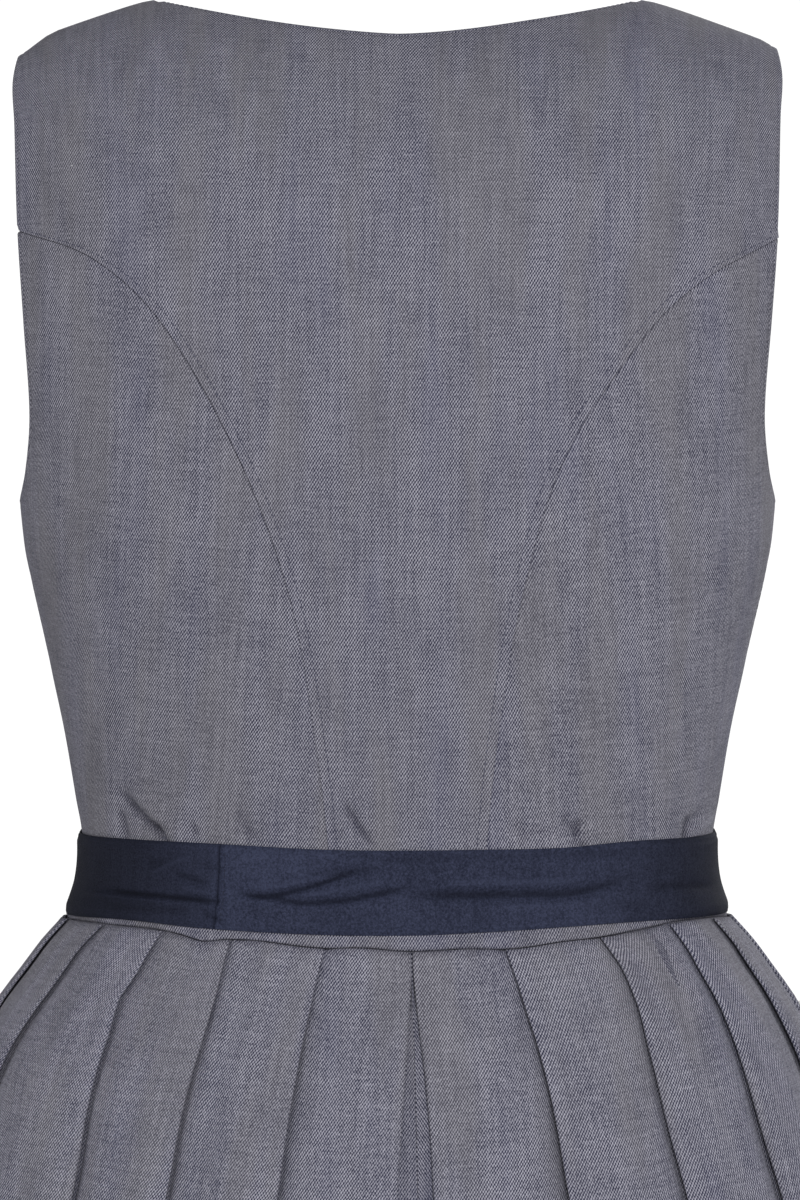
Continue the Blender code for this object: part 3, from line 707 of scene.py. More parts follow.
def shell(name, outer, inner, cloth, edge, finishes, inside=None):
    """A closed skin between two grids of points. inside says where the back has its own finish."""
    high, wide = outer.shape[:2]
    count = high * wide
    index = np.arange(count).reshape(high, wide)

    def quads(grid):
        sides = grid[:-1, :-1], grid[:-1, 1:], grid[1:, 1:], grid[1:, :-1]
        return np.stack(sides, -1).reshape(-1, 4)

    around = np.concatenate((index[0, :-1], index[:-1, -1], index[-1, :0:-1], index[:0:-1, 0]))
    after = np.roll(around, -1)
    rim = np.stack((after, around, around + count, after + count), -1)
    faces = np.concatenate((quads(index), quads(index + count)[:, ::-1], rim))
    verts = np.concatenate((outer.reshape(-1, 3), inner.reshape(-1, 3)))
    mesh = smooth_mesh(name, verts, faces, np.concatenate((cloth.reshape(-1, 3),) * 2), finishes)
    # "edge" carries the dark seam lines, and also where painted shade and painted highlights go
    keep(mesh, "edge", np.concatenate((edge.ravel(),) * 2))
    if inside is not None:
        cells = (high - 1) * (wide - 1)
        slots = np.zeros(len(faces), np.int32)
        slots[cells:2 * cells] = quads(inside)[:, 0].astype(np.int32)
        mesh.polygons.foreach_set("material_index", slots)
    volume = sum(p.area * p.center.dot(p.normal) for p in list(mesh.polygons)[::7])
    if volume < 0:
        mesh.flip_normals()
    return put(name, mesh)


# %% The cut, and columns of a grid
def area_of(points):
    across, up = np.diff(points, axis=1)[:-1], np.diff(points, axis=0)[:, :-1]
    return np.linalg.norm(np.cross(across, up), axis=-1).sum()


def declare(piece, node, points):
    """Hangs a piece on the frame in place of its solid, and states its cut."""
    seams = 20  # allowance, both sides together
    width = lengths(points, 1)[:, -1].max() + seams
    length = lengths(points, 0)[-1].max() + seams
    area = min(max(area_of(points) * 1.06, 0.31 * width * length), width * length)
    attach(piece, "root")
    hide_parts(node)
    count = sum(len(p.vertices) - 2 for p in piece.data.polygons)
    size = f"{width:.0f} x {length:.0f} mm, {area / 1e6:.3f} m2"
    print(f"{piece.name}: cut {size}, {count} triangles")


def spread(width, places):
    """Columns across rows: close together near both edges, and at given shares between them."""
    near = np.array(NEAR)[None, :] / width[:, None]
    left, right = near, 1 - near[:, ::-1]
    between = mix(left[:, -1:], right[:, :1], np.array(places)[None, :])
    return np.concatenate((left, between, right), axis=1)


# %% [markdown]
# ## The bodice
#
# The back is one piece between two princess seams, with both straps on it. Its rows run level
# up to the underarm, then fan out along the seams, and then climb over the shoulders.


# %% How bodice cloth is shaped
FACING, TOPSTITCH, WAIST_STRIP = 42.0, 2.2, -405.0


def seam_groove(distance, depth=0.75, width=0.9):
    return -depth * bell(distance, width)


def worn_out(z):
    """How clearly a seam shows: sharp up at the armhole, softer low down, gone under the belt."""
    return mix(0.5, 1.0, ease((z + 330) / 150)) * ease((z + 404) / 6)


def soft_swell(x, z):
    """Slow unevenness of worn cloth."""
    slow = np.sin(x / 23 + z / 41) * np.sin(z / 37 - x / 61 + 1.3)
    return 0.16 * (slow + 0.6 * np.sin(x / 11 - z / 29))


# %% A dressed bodice piece
def dress_bodice(node, points, seams, free, grain=0.0, offset=0.0):
    """A bodice piece from its grid: grooves at seams, rolled free edges, creases, and its cut."""
    x, z = points[..., 0], points[..., 2]
    edges = dict(zip(("start", "end", "bottom", "top"), from_edges(points)))
    back = points[..., 1].mean() > 0
    out = outward(points)

    # Creases, and the gathered strip that shows under the belt
    marks = 1.35 * creases(points, BODICE_CREASES if back else FRONT_CREASES, back)
    lift = soft_swell(x, z) + marks
    turned = angle_at(x, z, back)
    gather = np.sin(turned / 1.3 + 2.4 * np.sin(turned / 5.0)) * np.sin(turned / 9.0 + 1.0)
    lift += bell(z - WAIST_STRIP, 3.0) * (1.2 + 0.7 * gather)

    # Seams
    near = np.full(z.shape, FAR)
    clear = worn_out(z)
    for side in seams:
        across_seam = side in ("start", "end")
        lift += seam_groove(edges[side]) * (clear if across_seam else 1.0)
        near = np.minimum(near, edges[side] + np.where(across_seam, (1 - clear) * 1.5, 0.4))

    # Free edges are rolled and stitched
    hem = np.full(z.shape, FAR)
    for side, where in free:
        hem = np.minimum(hem, np.where(where, edges[side], FAR))
    lift += 0.25 * ease(hem / 1.5) - 0.28 * bell(hem - TOPSTITCH, 0.5) - 0.25
    near = np.minimum(near, np.abs(hem - TOPSTITCH) + 0.35)

    # Crease hollows get painted shade and raised crease ridges a painted highlight
    near = np.minimum(near, 0.95 - 0.42 * np.maximum(-marks - 0.25, 0.0))
    near += 0.9 * np.maximum(marks - 0.9, 0.0) * (near > 0.9)

    # A facing lies behind the free edges, and the lining behind the rest
    facing = hem < FACING
    thick = THICK + np.where(facing, 0.5, 0.0) * ease((FACING - hem) / 1.5)
    thick = thick * mix(0.45, 1.0, ease(np.minimum(near, hem) / 1.2))
    across, up = flat_place(points)
    turn = math.radians(grain)
    flat = on_cloth(
        across * math.cos(turn) + up * math.sin(turn),
        up * math.cos(turn) - across * math.sin(turn), offset,
    )
    outer = points + out * lift[..., None]
    inner = outer - out * thick[..., None]
    finishes = twill_finish, lining_finish
    piece = shell(node + "_cloth", outer, inner, flat, near, finishes, np.where(facing, 0, 1))
    declare(piece, node, points)
    return outer, out


# %% Rows that follow the seams
LOW, ROWS = 78, 122  # rows up to the underarm, and up to the seam's tip


def level_rows():
    """Shares up to the underarm, closer together over the belt, and on up to the tip."""
    return np.linspace(0, 1, LOW, endpoint=False) ** 1.2, np.linspace(0, 1, ROWS - LOW)


def seam_line(seam, low, high, back=True):
    """Angle and height up a seam, for shares below and above the underarm."""
    z = mix(-400.0, UNDERARM, low)
    for _ in range(3):
        angle = angle_at(seam.at_height(z), z, back)
        z = mix(waist(angle), UNDERARM, low)
    x_high, z_high = seam.above(high)
    x, z = np.concatenate((seam.at_height(z), x_high)), np.concatenate((z, z_high))
    return angle_at(x, z, back), z


STRAP_COLUMNS = 22  # columns of the centre back on each side of the neckline


def on_levels(angles, heights):
    """Points for a grid whose rows lie level from the waist seam up to the underarm."""
    low = level_rows()[0][:, None]
    heights[:LOW] = mix(waist(angles[:LOW]), UNDERARM, low)
    return torso(angles, heights)


def row_widths(angle, z, other, other_z):
    """Straight distance between the two ends of each row."""
    return np.linalg.norm(torso(angle, z) - torso(other, other_z), axis=-1)


# %% The centre back
def back_centre():
    """The centre back: columns are shares from one princess seam (-1) to the other (1)."""
    low, high = level_rows()
    left, z_left = seam_line(Seam(BACK_SEAM_LEFT), low, high)
    right, z_right = seam_line(Seam(BACK_SEAM_RIGHT), low, high)
    neck = 0.645  # share of the top edge that is neckline
    inner = np.linspace((1 - neck) / 2, (1 + neck) / 2, 57)
    side = np.linspace(0, (1 - neck) / 2, STRAP_COLUMNS - len(NEAR) + 2)[1:-1]
    places = np.concatenate((side, inner, 1 - side[::-1]))
    part = spread(row_widths(left, z_left, right, z_right) * 1.06, places)
    lower = on_levels(
        mix(right[:, None], left[:, None], part), mix(z_right[:, None], z_left[:, None], part)
    )

    base, place = lower[-1], part[-1] * 2 - 1
    rise = 150.0  # length over the shoulder, nearly
    upper = np.concatenate((np.linspace(0, 1 - 8 / rise, 44)[1:], 1 - np.array(NEAR[::-1]) / rise))
    out = np.clip((np.abs(place) - neck) / (1 - neck), 0, 1)
    inside = np.abs(place) < neck
    x_top = np.where(inside, NECK_HALF * place / neck,
                     np.sign(place) * mix(NECK_HALF, SHOULDER_END, out))
    neck_z = -16.4 * (1 - np.minimum(np.abs(x_top) / NECK_HALF, 1) ** 1.5)
    turn_top = np.where(inside, turn_at(x_top, neck_z), SEAM_TURN)
    turn = mix(turn_at(base[:, 0], base[:, 2])[None, :], turn_top[None, :], upper[:, None])
    x = mix(base[None, :, 0], x_top[None, :], upper[:, None])
    for column, sign in ((0, -1), (-1, 1)):
        edge = sign * armhole_x(turn[:, column], True) - x[:, column]
        x = x + edge[:, None] * np.where(np.sign(place) == sign, out, 0.0)[None, :] ** 2
    return np.concatenate((lower, over_shoulder(x, turn)))


points = back_centre()
row, column = np.indices(points.shape[:2])
strap, from_side = row >= ROWS, np.minimum(column, column[:, ::-1])
back_face, back_out = dress_bodice(
    "back_centre", points, ("bottom",),
    (("start", strap), ("end", strap), ("top", from_side >= STRAP_COLUMNS)),
)


# %% Side backs and side fronts
def side_panel(seam, back, side):
    """Side back or side front, from the princess seam to the side seam and the armhole."""
    low, high = level_rows()
    angle, z = seam_line(seam, low, high, back)
    tip = seam.z[-1] - 1.5
    z_high = mix(UNDERARM, tip, high)
    z_out = np.concatenate((mix(waist(90.0), UNDERARM, low), z_high))
    turned = angle_at(side * armhole(z_high, back), z_high, back)
    out = np.concatenate((np.full(LOW, 90.0 * side), turned))
    width = np.maximum(row_widths(angle, z, out, z_out) * 1.04, 16.0)
    part = spread(width, np.linspace(0, 1, 40)[1:-1])
    return on_levels(
        mix(angle[:, None], out[:, None], part), mix(z[:, None], z_out[:, None], part)
    )


for number, (node, seam, back, side, grain) in enumerate((
    ("side_back_left", Seam(BACK_SEAM_LEFT), True, 1, 4.0),
    ("side_back_right", Seam(BACK_SEAM_RIGHT), True, -1, -4.0),
    ("front_side_left", Seam(FRONT_SEAM), False, 1, 3.0),
    ("front_side_right", Seam(FRONT_SEAM, -1), False, -1, -3.0),
)):
    points = side_panel(seam, back, side)
    beside_armhole = np.indices(points.shape[:2])[0] > LOW
    free = (("end", beside_armhole),)
    dress_bodice(node, points, ("start", "bottom"), free, grain, 0.1 + number * 0.1)

# %% [markdown]
# ## Centre fronts
#
# The two centre fronts lap over each other and button. Their rows start at the lap edge and,
# from the corner of the neckline up, walk round the scooped neck to the strap.

# %% Centre fronts
LAP_HALF, LAP_LIFT, FRONT_NECK_DROP = 10.0, 2.2, 165.0
CORNER, STRAP_ROWS = 96, 54  # rows up to the neckline's corner, and over the strap


def front_neck(turn):
    """Half width and height on the scooped neckline, from its foot (0) to the neck point (90)."""
    turn = np.radians(turn)
    return (NECK_HALF * np.sin(turn) ** (2 / 2.6),
            -FRONT_NECK_DROP * np.cos(turn) ** (2 / 2.2))


def lap(points):
    """The wearer's right front lies over the left one."""
    return LAP_LIFT * ease((points[..., 0] + 32.0) / 16.0)


def front_centre(side):
    """A centre front: columns run from the lap's edge to the seam and the armhole."""
    seam = Seam(FRONT_SEAM, side)
    low, high = level_rows()
    end, z_end = seam_line(seam, low, high, False)
    x_neck, z_neck = front_neck(np.linspace(0, 90, ROWS + STRAP_ROWS - CORNER))
    x_start = np.concatenate((np.full(CORNER, -LAP_HALF), x_neck))
    x_start[CORNER] = -LAP_HALF
    z_start = np.concatenate((
        mix(waist(180.0), UNDERARM, low),
        np.linspace(UNDERARM, -FRONT_NECK_DROP, CORNER - LOW, endpoint=False), z_neck,
    ))
    start = angle_at(side * x_start[:ROWS], z_start[:ROWS], False) % 360
    end = end % 360
    places = np.linspace(0, 1, 44)[1:-1]
    part = spread(row_widths(start, z_start[:ROWS], end, z_end) * 1.04, places)
    angles = mix(start[:, None], end[:, None], part)
    heights = mix(z_start[:ROWS, None], z_end[:, None], part)
    heights[:1] = waist(angles[:1])
    lower = torso(angles, heights)

    share = np.arange(1, STRAP_ROWS + 1) / STRAP_ROWS
    start_turn = turn_at(side * x_start[ROWS:], z_start[ROWS:], False)
    start_turn[-1] = SEAM_TURN
    end_turn = mix(turn_at(seam.x[-1], seam.z[-1], False), SEAM_TURN, share)
    end_x = armhole_x(end_turn, False)
    part = spread(np.hypot(end_x - x_start[ROWS:], 10.0), places)
    x = side * mix(x_start[ROWS:, None], end_x[:, None], part)
    turn = mix(start_turn[:, None], end_turn[:, None], part)
    return np.concatenate((lower, over_shoulder(x, turn)))


front_faces = {}
for node, side in (("front_centre_left", 1), ("front_centre_right", -1)):
    points = front_centre(side)
    if side < 0:
        points = points + outward(points) * lap(points)[..., None]
    row = np.indices(points.shape[:2])[0]
    front_faces[node] = dress_bodice(
        node, points, ("bottom",), (("start", row >= 0), ("end", row >= ROWS)),
        offset=0.6 + 0.1 * side,
    )

# %% [markdown]
# ## The skirt
#
# Two widths of cloth are laid in knife pleats whose edges all point to centre back, where the
# last two meet as an inverted pleat over the seam. Seen from above, the cloth's line goes along
# each face, under the next edge, back again, and round a pressed edge. The line is worked out at
# many heights, so that the pleats open as the skirt flares.

# %% The skirt in numbers
# Rows: drop below the waist, half width, depth to the back and to the front, squareness
SKIRT = (
    (0, 148, 99, 101, 2.25), (10, 157, 103.5, 104.5, 2.25), (20, 164.4, 108.5, 108, 2.2),
    (36, 175.6, 117, 115, 2.2), (60, 188, 127.5, 124, 2.2), (90, 199, 138, 133, 2.2),
    (125, 209.5, 150, 143, 2.2), (200, 226, 166, 157, 2.15), (350, 249, 192, 181, 2.1),
    (500, 271, 218, 205, 2.1), (650, 292, 243, 229, 2.1),
)
FOLD_DROPS = (0, 15, 30, 38, 50, 75, 100, 125, 650)
# Angle of each fold's edge at those drops
LEFT_FOLDS = (
    (-3.4, -3, -2.3, -2, -1.5, -0.6, 0.1, 0.6, 1.2),
    (18, 18.7, 19.1, 19.3, 19.5, 20, 20.2, 20.5, 20.7),
    (38.8, 38.3, 37.8, 37.7, 37.8, 38, 37.7, 37.5, 36.5),
    (53, 53.7, 54.8, 53.8, 53.5, 52.8, 51.7, 51, 51),
    (66.6, 68.6, 69.4, 70, 70.9, 71.6, 71.8, 71.5, 69.5),
    (82, 83, 84.2, 84.5, 84.8, 85, 85, 85, 85),
    (99, 99.6, 100.2, 99.8, 99.5, 99.8, 100.3, 100, 100),
    (115, 114.5, 114.8, 115.3, 115.8, 116.4, 116.2, 116, 116),
    (131, 131.4, 132, 132.2, 132.4, 132, 131.7, 132, 132),
    (147, 146.6, 146.9, 147.2, 147.6, 148.2, 148.3, 148, 148),
    (163, 163.3, 163.6, 163.6, 163.4, 163, 163, 163, 163),
)
RIGHT_FOLDS = (
    (-3.7, -4.1, -4.7, -5, -5.5, -6.1, -6.3, -6.5, -6.8),
    (-26, -27, -27.5, -27.8, -28.1, -28.4, -28.4, -28.6, -30),
    (-46.2, -47.9, -47.8, -47.2, -46.7, -46.3, -46.5, -46.4, -47.2),
    (-61, -61.7, -62, -61.9, -61.7, -61.4, -61.5, -61.5, -62),
    (-73.4, -74, -74.5, -74.4, -74.7, -75, -75.2, -75, -74.5),
    (-88, -88.5, -88.3, -88.5, -88.9, -89.3, -89.2, -89, -89),
    (-103, -103.6, -104.3, -104.4, -104.3, -104, -104, -104, -104),
    (-118, -117.6, -118, -118.4, -118.9, -119.3, -119.2, -119, -119),
    (-133, -133.5, -134, -134.2, -134.3, -134, -133.8, -134, -134),
    (-148, -148, -148.6, -149, -149.3, -149.4, -149.2, -149, -149),
    (-163, -163.2, -163.5, -163.5, -163.4, -163, -163, -163, -163),
)
# How each fold's edge rolls back, by side and number: width at the waist and low, and height low
LIPS = {
    (1, 1): (3.0, 9.0, 1.2), (1, 2): (9.0, 17.0, 3.0), (1, 3): (12.0, 14.0, 3.4),
    (1, 4): (7.0, 14.0, 3.0), (1, 5): (5.0, 12.0, 2.4), (1, 6): (4.0, 12.0, 2.2),
    (1, 7): (6.0, 10.0, 1.8), (1, 8): (3.0, 13.0, 2.4), (1, 9): (5.0, 9.0, 1.4),
    (-1, 1): (2.0, 7.0, 1.0), (-1, 2): (2.0, 15.0, 3.6), (-1, 3): (2.0, 14.0, 3.4),
    (-1, 4): (5.0, 13.0, 2.6), (-1, 5): (3.0, 11.0, 2.2), (-1, 6): (5.0, 12.0, 2.0),
    (-1, 7): (3.0, 10.0, 2.0), (-1, 8): (5.0, 12.0, 2.4), (-1, 9): (3.0, 9.0, 1.4),
}
BACK_SEAM_ANGLE = -3.5
UNDER_SHARE = 0.82  # how much of the way to the next edge the cloth goes back under
# Distance between the layers of a pleat, and how far an edge stands over the next, by drop
PLEAT_DEPTH = (
    (0, 1.2, 3.4), (36, 1.5, 5.2), (125, 2.4, 9), (350, 4, 13), (650, 5.5, 19),
)

# Soft ridges and hollows down the faces: angle at the waist and low, last drop, width, height
SOFT_RIDGES = (
    (-53, -53.2, 70, 2.2, 1), (-56.5, -55.5, 320, 5, -1.2), (-35, -37, 380, 6, 0.9),
    (-13, -15, 300, 8, -0.6), (-67.5, -68.5, 280, 3.4, 1), (8, 9.5, 340, 7, 0.6),
    (28, 28.5, 380, 5.5, 1.1), (33, 33, 300, 4, -0.9), (46.5, 45, 300, 3.6, -0.9),
    (61, 61.5, 300, 4, 1.2), (108, 109, 300, 4, 1.3), (-111, -112, 320, 4, 1.4),
    (125, 125, 340, 5, -1), (139, 141, 260, 4, 1.2), (-127, -127.5, 300, 5, 1.1),
    (-140, -141, 300, 4, 1.3), (170, 171, 340, 5, 0.9), (-171, -170.5, 300, 6, -0.8),
    (-30.5, -32, 110, 1.6, -0.7), (-40, -39.5, 90, 1.5, 0.8), (-50.5, -50, 150, 1.8, -0.9),
    (-64.5, -65.5, 130, 1.5, -0.8), (-20, -21, 80, 1.4, 0.5), (12.5, 13, 90, 1.5, -0.5),
    (24, 24.5, 110, 1.6, 0.7), (43, 42, 120, 1.5, 0.8), (57.5, 57, 120, 1.6, -0.8),
    (74, 75.5, 130, 1.8, 0.8),
)
DROPS = np.concatenate((
    np.array((0.0, 0.8, 1.8, 3.2, 5.0, 7.2, 9.8, 13.0, 17.0, 22.0, 28.0, 35.0)),
    np.linspace(43, 240, 28), np.linspace(252, 640, 26), np.array((645.0, 648.0, 649.4, 650.0)),
))
print(len(DROPS), "rows down the skirt,", len(LEFT_FOLDS) + len(RIGHT_FOLDS), "folds round it")


# %% A ring round the skirt
class Ring:
    """The skirt's outline at one drop below the waist, measured along its length."""

    angles = np.linspace(-180, 180, 721)

    def __init__(self, drop):
        row = [float(smooth(SKIRT, c, drop)) for c in (1, 2, 3, 4)]
        self.points = np.stack(section(row, self.angles), -1)
        self.lengths = lengths(self.points)
        way = unit(np.gradient(self.points, axis=0))
        self.normals = np.stack((-way[:, 1], way[:, 0]), -1)

    def length_at(self, angle):
        return np.interp(angle, self.angles, self.lengths)

    def place(self, length, offset):
        spots = [np.interp(length, self.lengths, self.points[:, c]) for c in (0, 1)]
        out = [np.interp(length, self.lengths, self.normals[:, c]) for c in (0, 1)]
        x, y = (s + o * offset for s, o in zip(spots, out))
        return np.stack((x, y), -1), np.interp(length, self.lengths, self.angles)


# %% Soft ridges, and where the edges lie
def soft_ridges(ring, side, drop, places, start, face):
    """How far the soft ridges move the cloth of one face."""
    middle = ring.length_at(BACK_SEAM_ANGLE)
    inside = ease((places - start) / 6) * ease((start + face - places) / 6)
    lift = np.zeros_like(places)
    for waist_angle, low_angle, end, width, height in SOFT_RIDGES:
        if waist_angle * side < 0 or drop > end:
            continue
        turned = mix(waist_angle, low_angle, ease(drop / 150.0))
        at = side * (ring.length_at(turned) - middle)
        fade = ease(drop / 14 + 0.3) * ease((end - drop) / 120)
        lift += inside * height * fade * bell(places - at, width * (1 + drop / 200))
    return lift


def fold_edges(ring, folds, side, drop):
    """Length from centre back to each fold's edge at one drop, and at the waist."""
    top = Ring(0.0)
    middle = ring.length_at(BACK_SEAM_ANGLE)
    starts, tops = [], []
    for k, turns in enumerate(folds):
        shift = 0.5 * min(drop / 120.0, 3.0) * math.sin(drop / 83.0 + 2.1 * k + side) if k else 0.0
        shift *= ease((drop - 100.0) / 100.0)
        turn = float(smooth(tuple(zip(FOLD_DROPS, turns)), 1, drop))
        starts.append(side * (ring.length_at(turn) - middle) + shift)
        tops.append(side * top.length_at(turns[0]))
    starts[0] = max(starts[0], 0.6)
    starts.append(side * (ring.length_at(180.0 * side) - middle))
    tops.append(side * top.length_at(180.0 * side))
    return starts, tops


# %% Knife pleats
def pleat_line(folds, side, drop):
    """The cloth's line at one drop. Columns: length from centre back, offset, fold number, and
    how open the cloth lies, which is low inside a pleat and there sets a painted shade."""
    ring = Ring(drop)
    gap, depth = (float(smooth(PLEAT_DEPTH, c, drop)) for c in (1, 2))
    rolled = ease((drop - 8.0) / 95.0)
    starts, tops = fold_edges(ring, folds, side, drop)
    edge = min(gap / 2, 0.75)
    line = []

    # open_air sets the painted shade: low inside the pleat, so the cloth there is darker
    def add(length, offset, number, open_air=0.45):
        line.append(np.stack(np.broadcast_arrays(length, offset, float(number), open_air), -1))

    # The cloth comes out of the seam at centre back
    t = np.linspace(0, 1, 5)[:-1]
    add(mix(0.05, starts[0] * 0.5, t), np.full(4, -2 * gap) - 0.5 * t, -1, 0.6)
    for k, start in enumerate(starts[:-1]):
        face = starts[k + 1] - start
        last = k == len(folds) - 1
        if k == 0:
            under = (2 * UNDER_SHARE * (tops[1] - tops[0]) - start) / 2
            fall = 2 * gap
        else:
            kept = UNDER_SHARE * min(tops[k] - tops[k - 1], tops[k + 1] - tops[k])
            under = (tops[k] - tops[k - 1] + 2 * kept - (start - starts[k - 1])) / 2
            fall = depth
        under = max(7.0, min(under, face * 0.9))
        roll_low, roll_width, roll_height = LIPS.get((side, k), (3.0, 8.0, 1.0))
        roll_width = mix(roll_low, roll_width, rolled)
        roll_height = roll_height * mix(0.12, 1.0, rolled) * (1.0 if drop < 150 else 1.1)

        def inward(share):
            """How far in the face lies, a share of the way to the next edge."""
            bend = 2.4 + 0.5 * math.sin(1.7 * k + side)
            share = np.maximum(share, 0.0)
            return depth * (0.5 * share**bend + 0.5 * share**9)

        def lip(at):
            """How far the edge rolls back at a length from it."""
            return roll_height * np.clip(1 - at / roll_width, 0.0, 1.0) ** 1.5

        # In under this face, beneath the layer that comes back out
        reach = float(inward(under / face))
        half_way = max(float(inward(0.5 * under / face)) + 2 * gap, 0.5 * fall + gap)
        t = np.linspace(0, 1, 7)
        deep = np.interp(t, (0, 0.5, 1), (fall, half_way, reach + 2 * gap))
        add(start + under * t[k == 0:], -deep[k == 0:], k - 1)
        # Round the inner bend
        turn = np.radians((-45, 0, 45))
        bend_in = -(reach + 1.5 * gap) + gap / 2 * np.sin(turn)
        add(start + under + gap / 2 * np.cos(turn), bend_in, k)
        # Back out to the edge
        t = np.linspace(1, 0.08, 8)
        room = 2 * edge + (gap - 2 * edge) * ease(t * under / 14)
        add(start + under * t, -(inward(t * under / face) + room + lip(under * t)), k)
        # Round the pressed edge
        turn = np.radians((-65, -25, 25, 65))
        add(start + edge * (1 - np.cos(turn)), -edge + edge * np.sin(turn) - lip(0.0), k, 0.8)
        # Along the face: it sinks to the next edge, waves a little, and puckers at the waist
        t = np.concatenate((
            np.linspace(0.02, 0.86, 24), (0.89, 0.92, 0.945, 0.965, 0.985),
            (0.9995,) if last else (),
        ))
        places = start + face * t
        offset = soft_ridges(ring, side, drop, places, start, face)
        offset = offset - inward(t) * (0.25 if last else 1.0) - lip(places - start)
        wave = np.sin(places / 17 + drop / 70 + k) + 0.5 * np.sin(places / 7.5 - drop / 31 + k)
        offset = offset + 0.004 * min(drop, 300) * wave * np.sin(math.pi * t)
        pucker = np.sin(places / 1.7 + 1.9 * np.sin(places / 9.0) + side) * np.exp(-drop / 9.0)
        pucker = pucker * ease(0.6 + 0.6 * np.sin(places / 13.0 + k))
        offset = offset - 0.5 * (1 + 1.1 * pucker) * np.exp(-drop / 12.0)
        # Painted shade on the face, deepening as it goes under the next edge
        clear = (start + face - places) / mix(3.0, 7.5, rolled)
        add(places, offset, k, 0.5 + 0.45 * ease(clear + 0.1))
    return ring, np.concatenate(line)


# %% Skirt halves
def skirt_half(folds, side):
    """One width of the skirt: points, their direction out, fold numbers, how open each lies."""
    grid, square, open_air = [], [], []
    for drop in DROPS[::-1]:
        ring, line = pleat_line(folds, side, drop)
        middle = ring.length_at(BACK_SEAM_ANGLE)
        flat, angle = ring.place(middle + side * line[:, 0], line[:, 1])
        way = unit(np.gradient(flat, axis=0), 1e-9)
        dip = np.where(np.abs(angle) < 90, 6.0, 2.2) * np.cos(np.radians(angle)) ** 2
        z = mix(waist(angle), WAIST_LEVEL - dip, ease(drop / 110.0)) - 0.25 - drop
        flare = ease((drop - 15) / 50) * ease((600 - drop) / 300)  # the left side stands out more
        flat[:, 0] += 2.2 * flare * ease((flat[:, 0] - 90) / 90)
        grid.append(np.column_stack((flat, z)))
        square.append(np.column_stack((-way[:, 1], way[:, 0], np.zeros(len(z)))) * side)
        open_air.append(line[:, 3])
    return np.array(grid), np.array(square), line[:, 2], np.array(open_air)


def skirt_cloth(points, fold, side, offset):
    """Place on the flat cloth: straight down from each fold's edge, and along from it."""
    along, up = lengths(points, 1), lengths(points, 0)
    across = np.empty_like(along)
    for number in np.unique(fold):
        columns = np.nonzero(fold == number)[0]
        edge = columns[0] if number < 0 else columns[min(12, len(columns) - 1)]
        across[:, columns] = along[:, columns] - along[:, [edge]] + 190.0 * number
    return on_cloth(across * np.where(fold < 0, 1, side), up, offset)


HEM = 30.0
for node, folds, side in (("skirt_left", LEFT_FOLDS, 1), ("skirt_right", RIGHT_FOLDS, -1)):
    points, square, fold, open_air = skirt_half(folds, side)
    up = lengths(points, 0)
    # The hem's stitch line is darker. Inside the pleats and just under the waist seam the cloth
    # gets painted shade
    near = np.minimum(open_air, np.abs(up - HEM) * 0.25 + 0.5)
    near = np.minimum(near, 0.35 + (up[-1:] - up) * 0.12)
    thick = (0.5 * ease((HEM + 1 - up) / 1.5) + THICK)[..., None]
    outer, inner = points + square * 0.3, points + square * (0.3 - thick)
    flat = skirt_cloth(points, fold, side, 1.5 + side * 0.3)
    piece = shell(node + "_cloth", outer, inner, flat, near, (skirt_lit_finish,))
    declare(piece, node, points)

# %% [markdown]
# ## The belt
#
# A band of navy cloth, folded at both long edges and drawn round the waist. It is soft, so it
# lies in flat wrinkles. One length is joined to the other by a seam left of centre back, and
# the free end laps over the other in front.

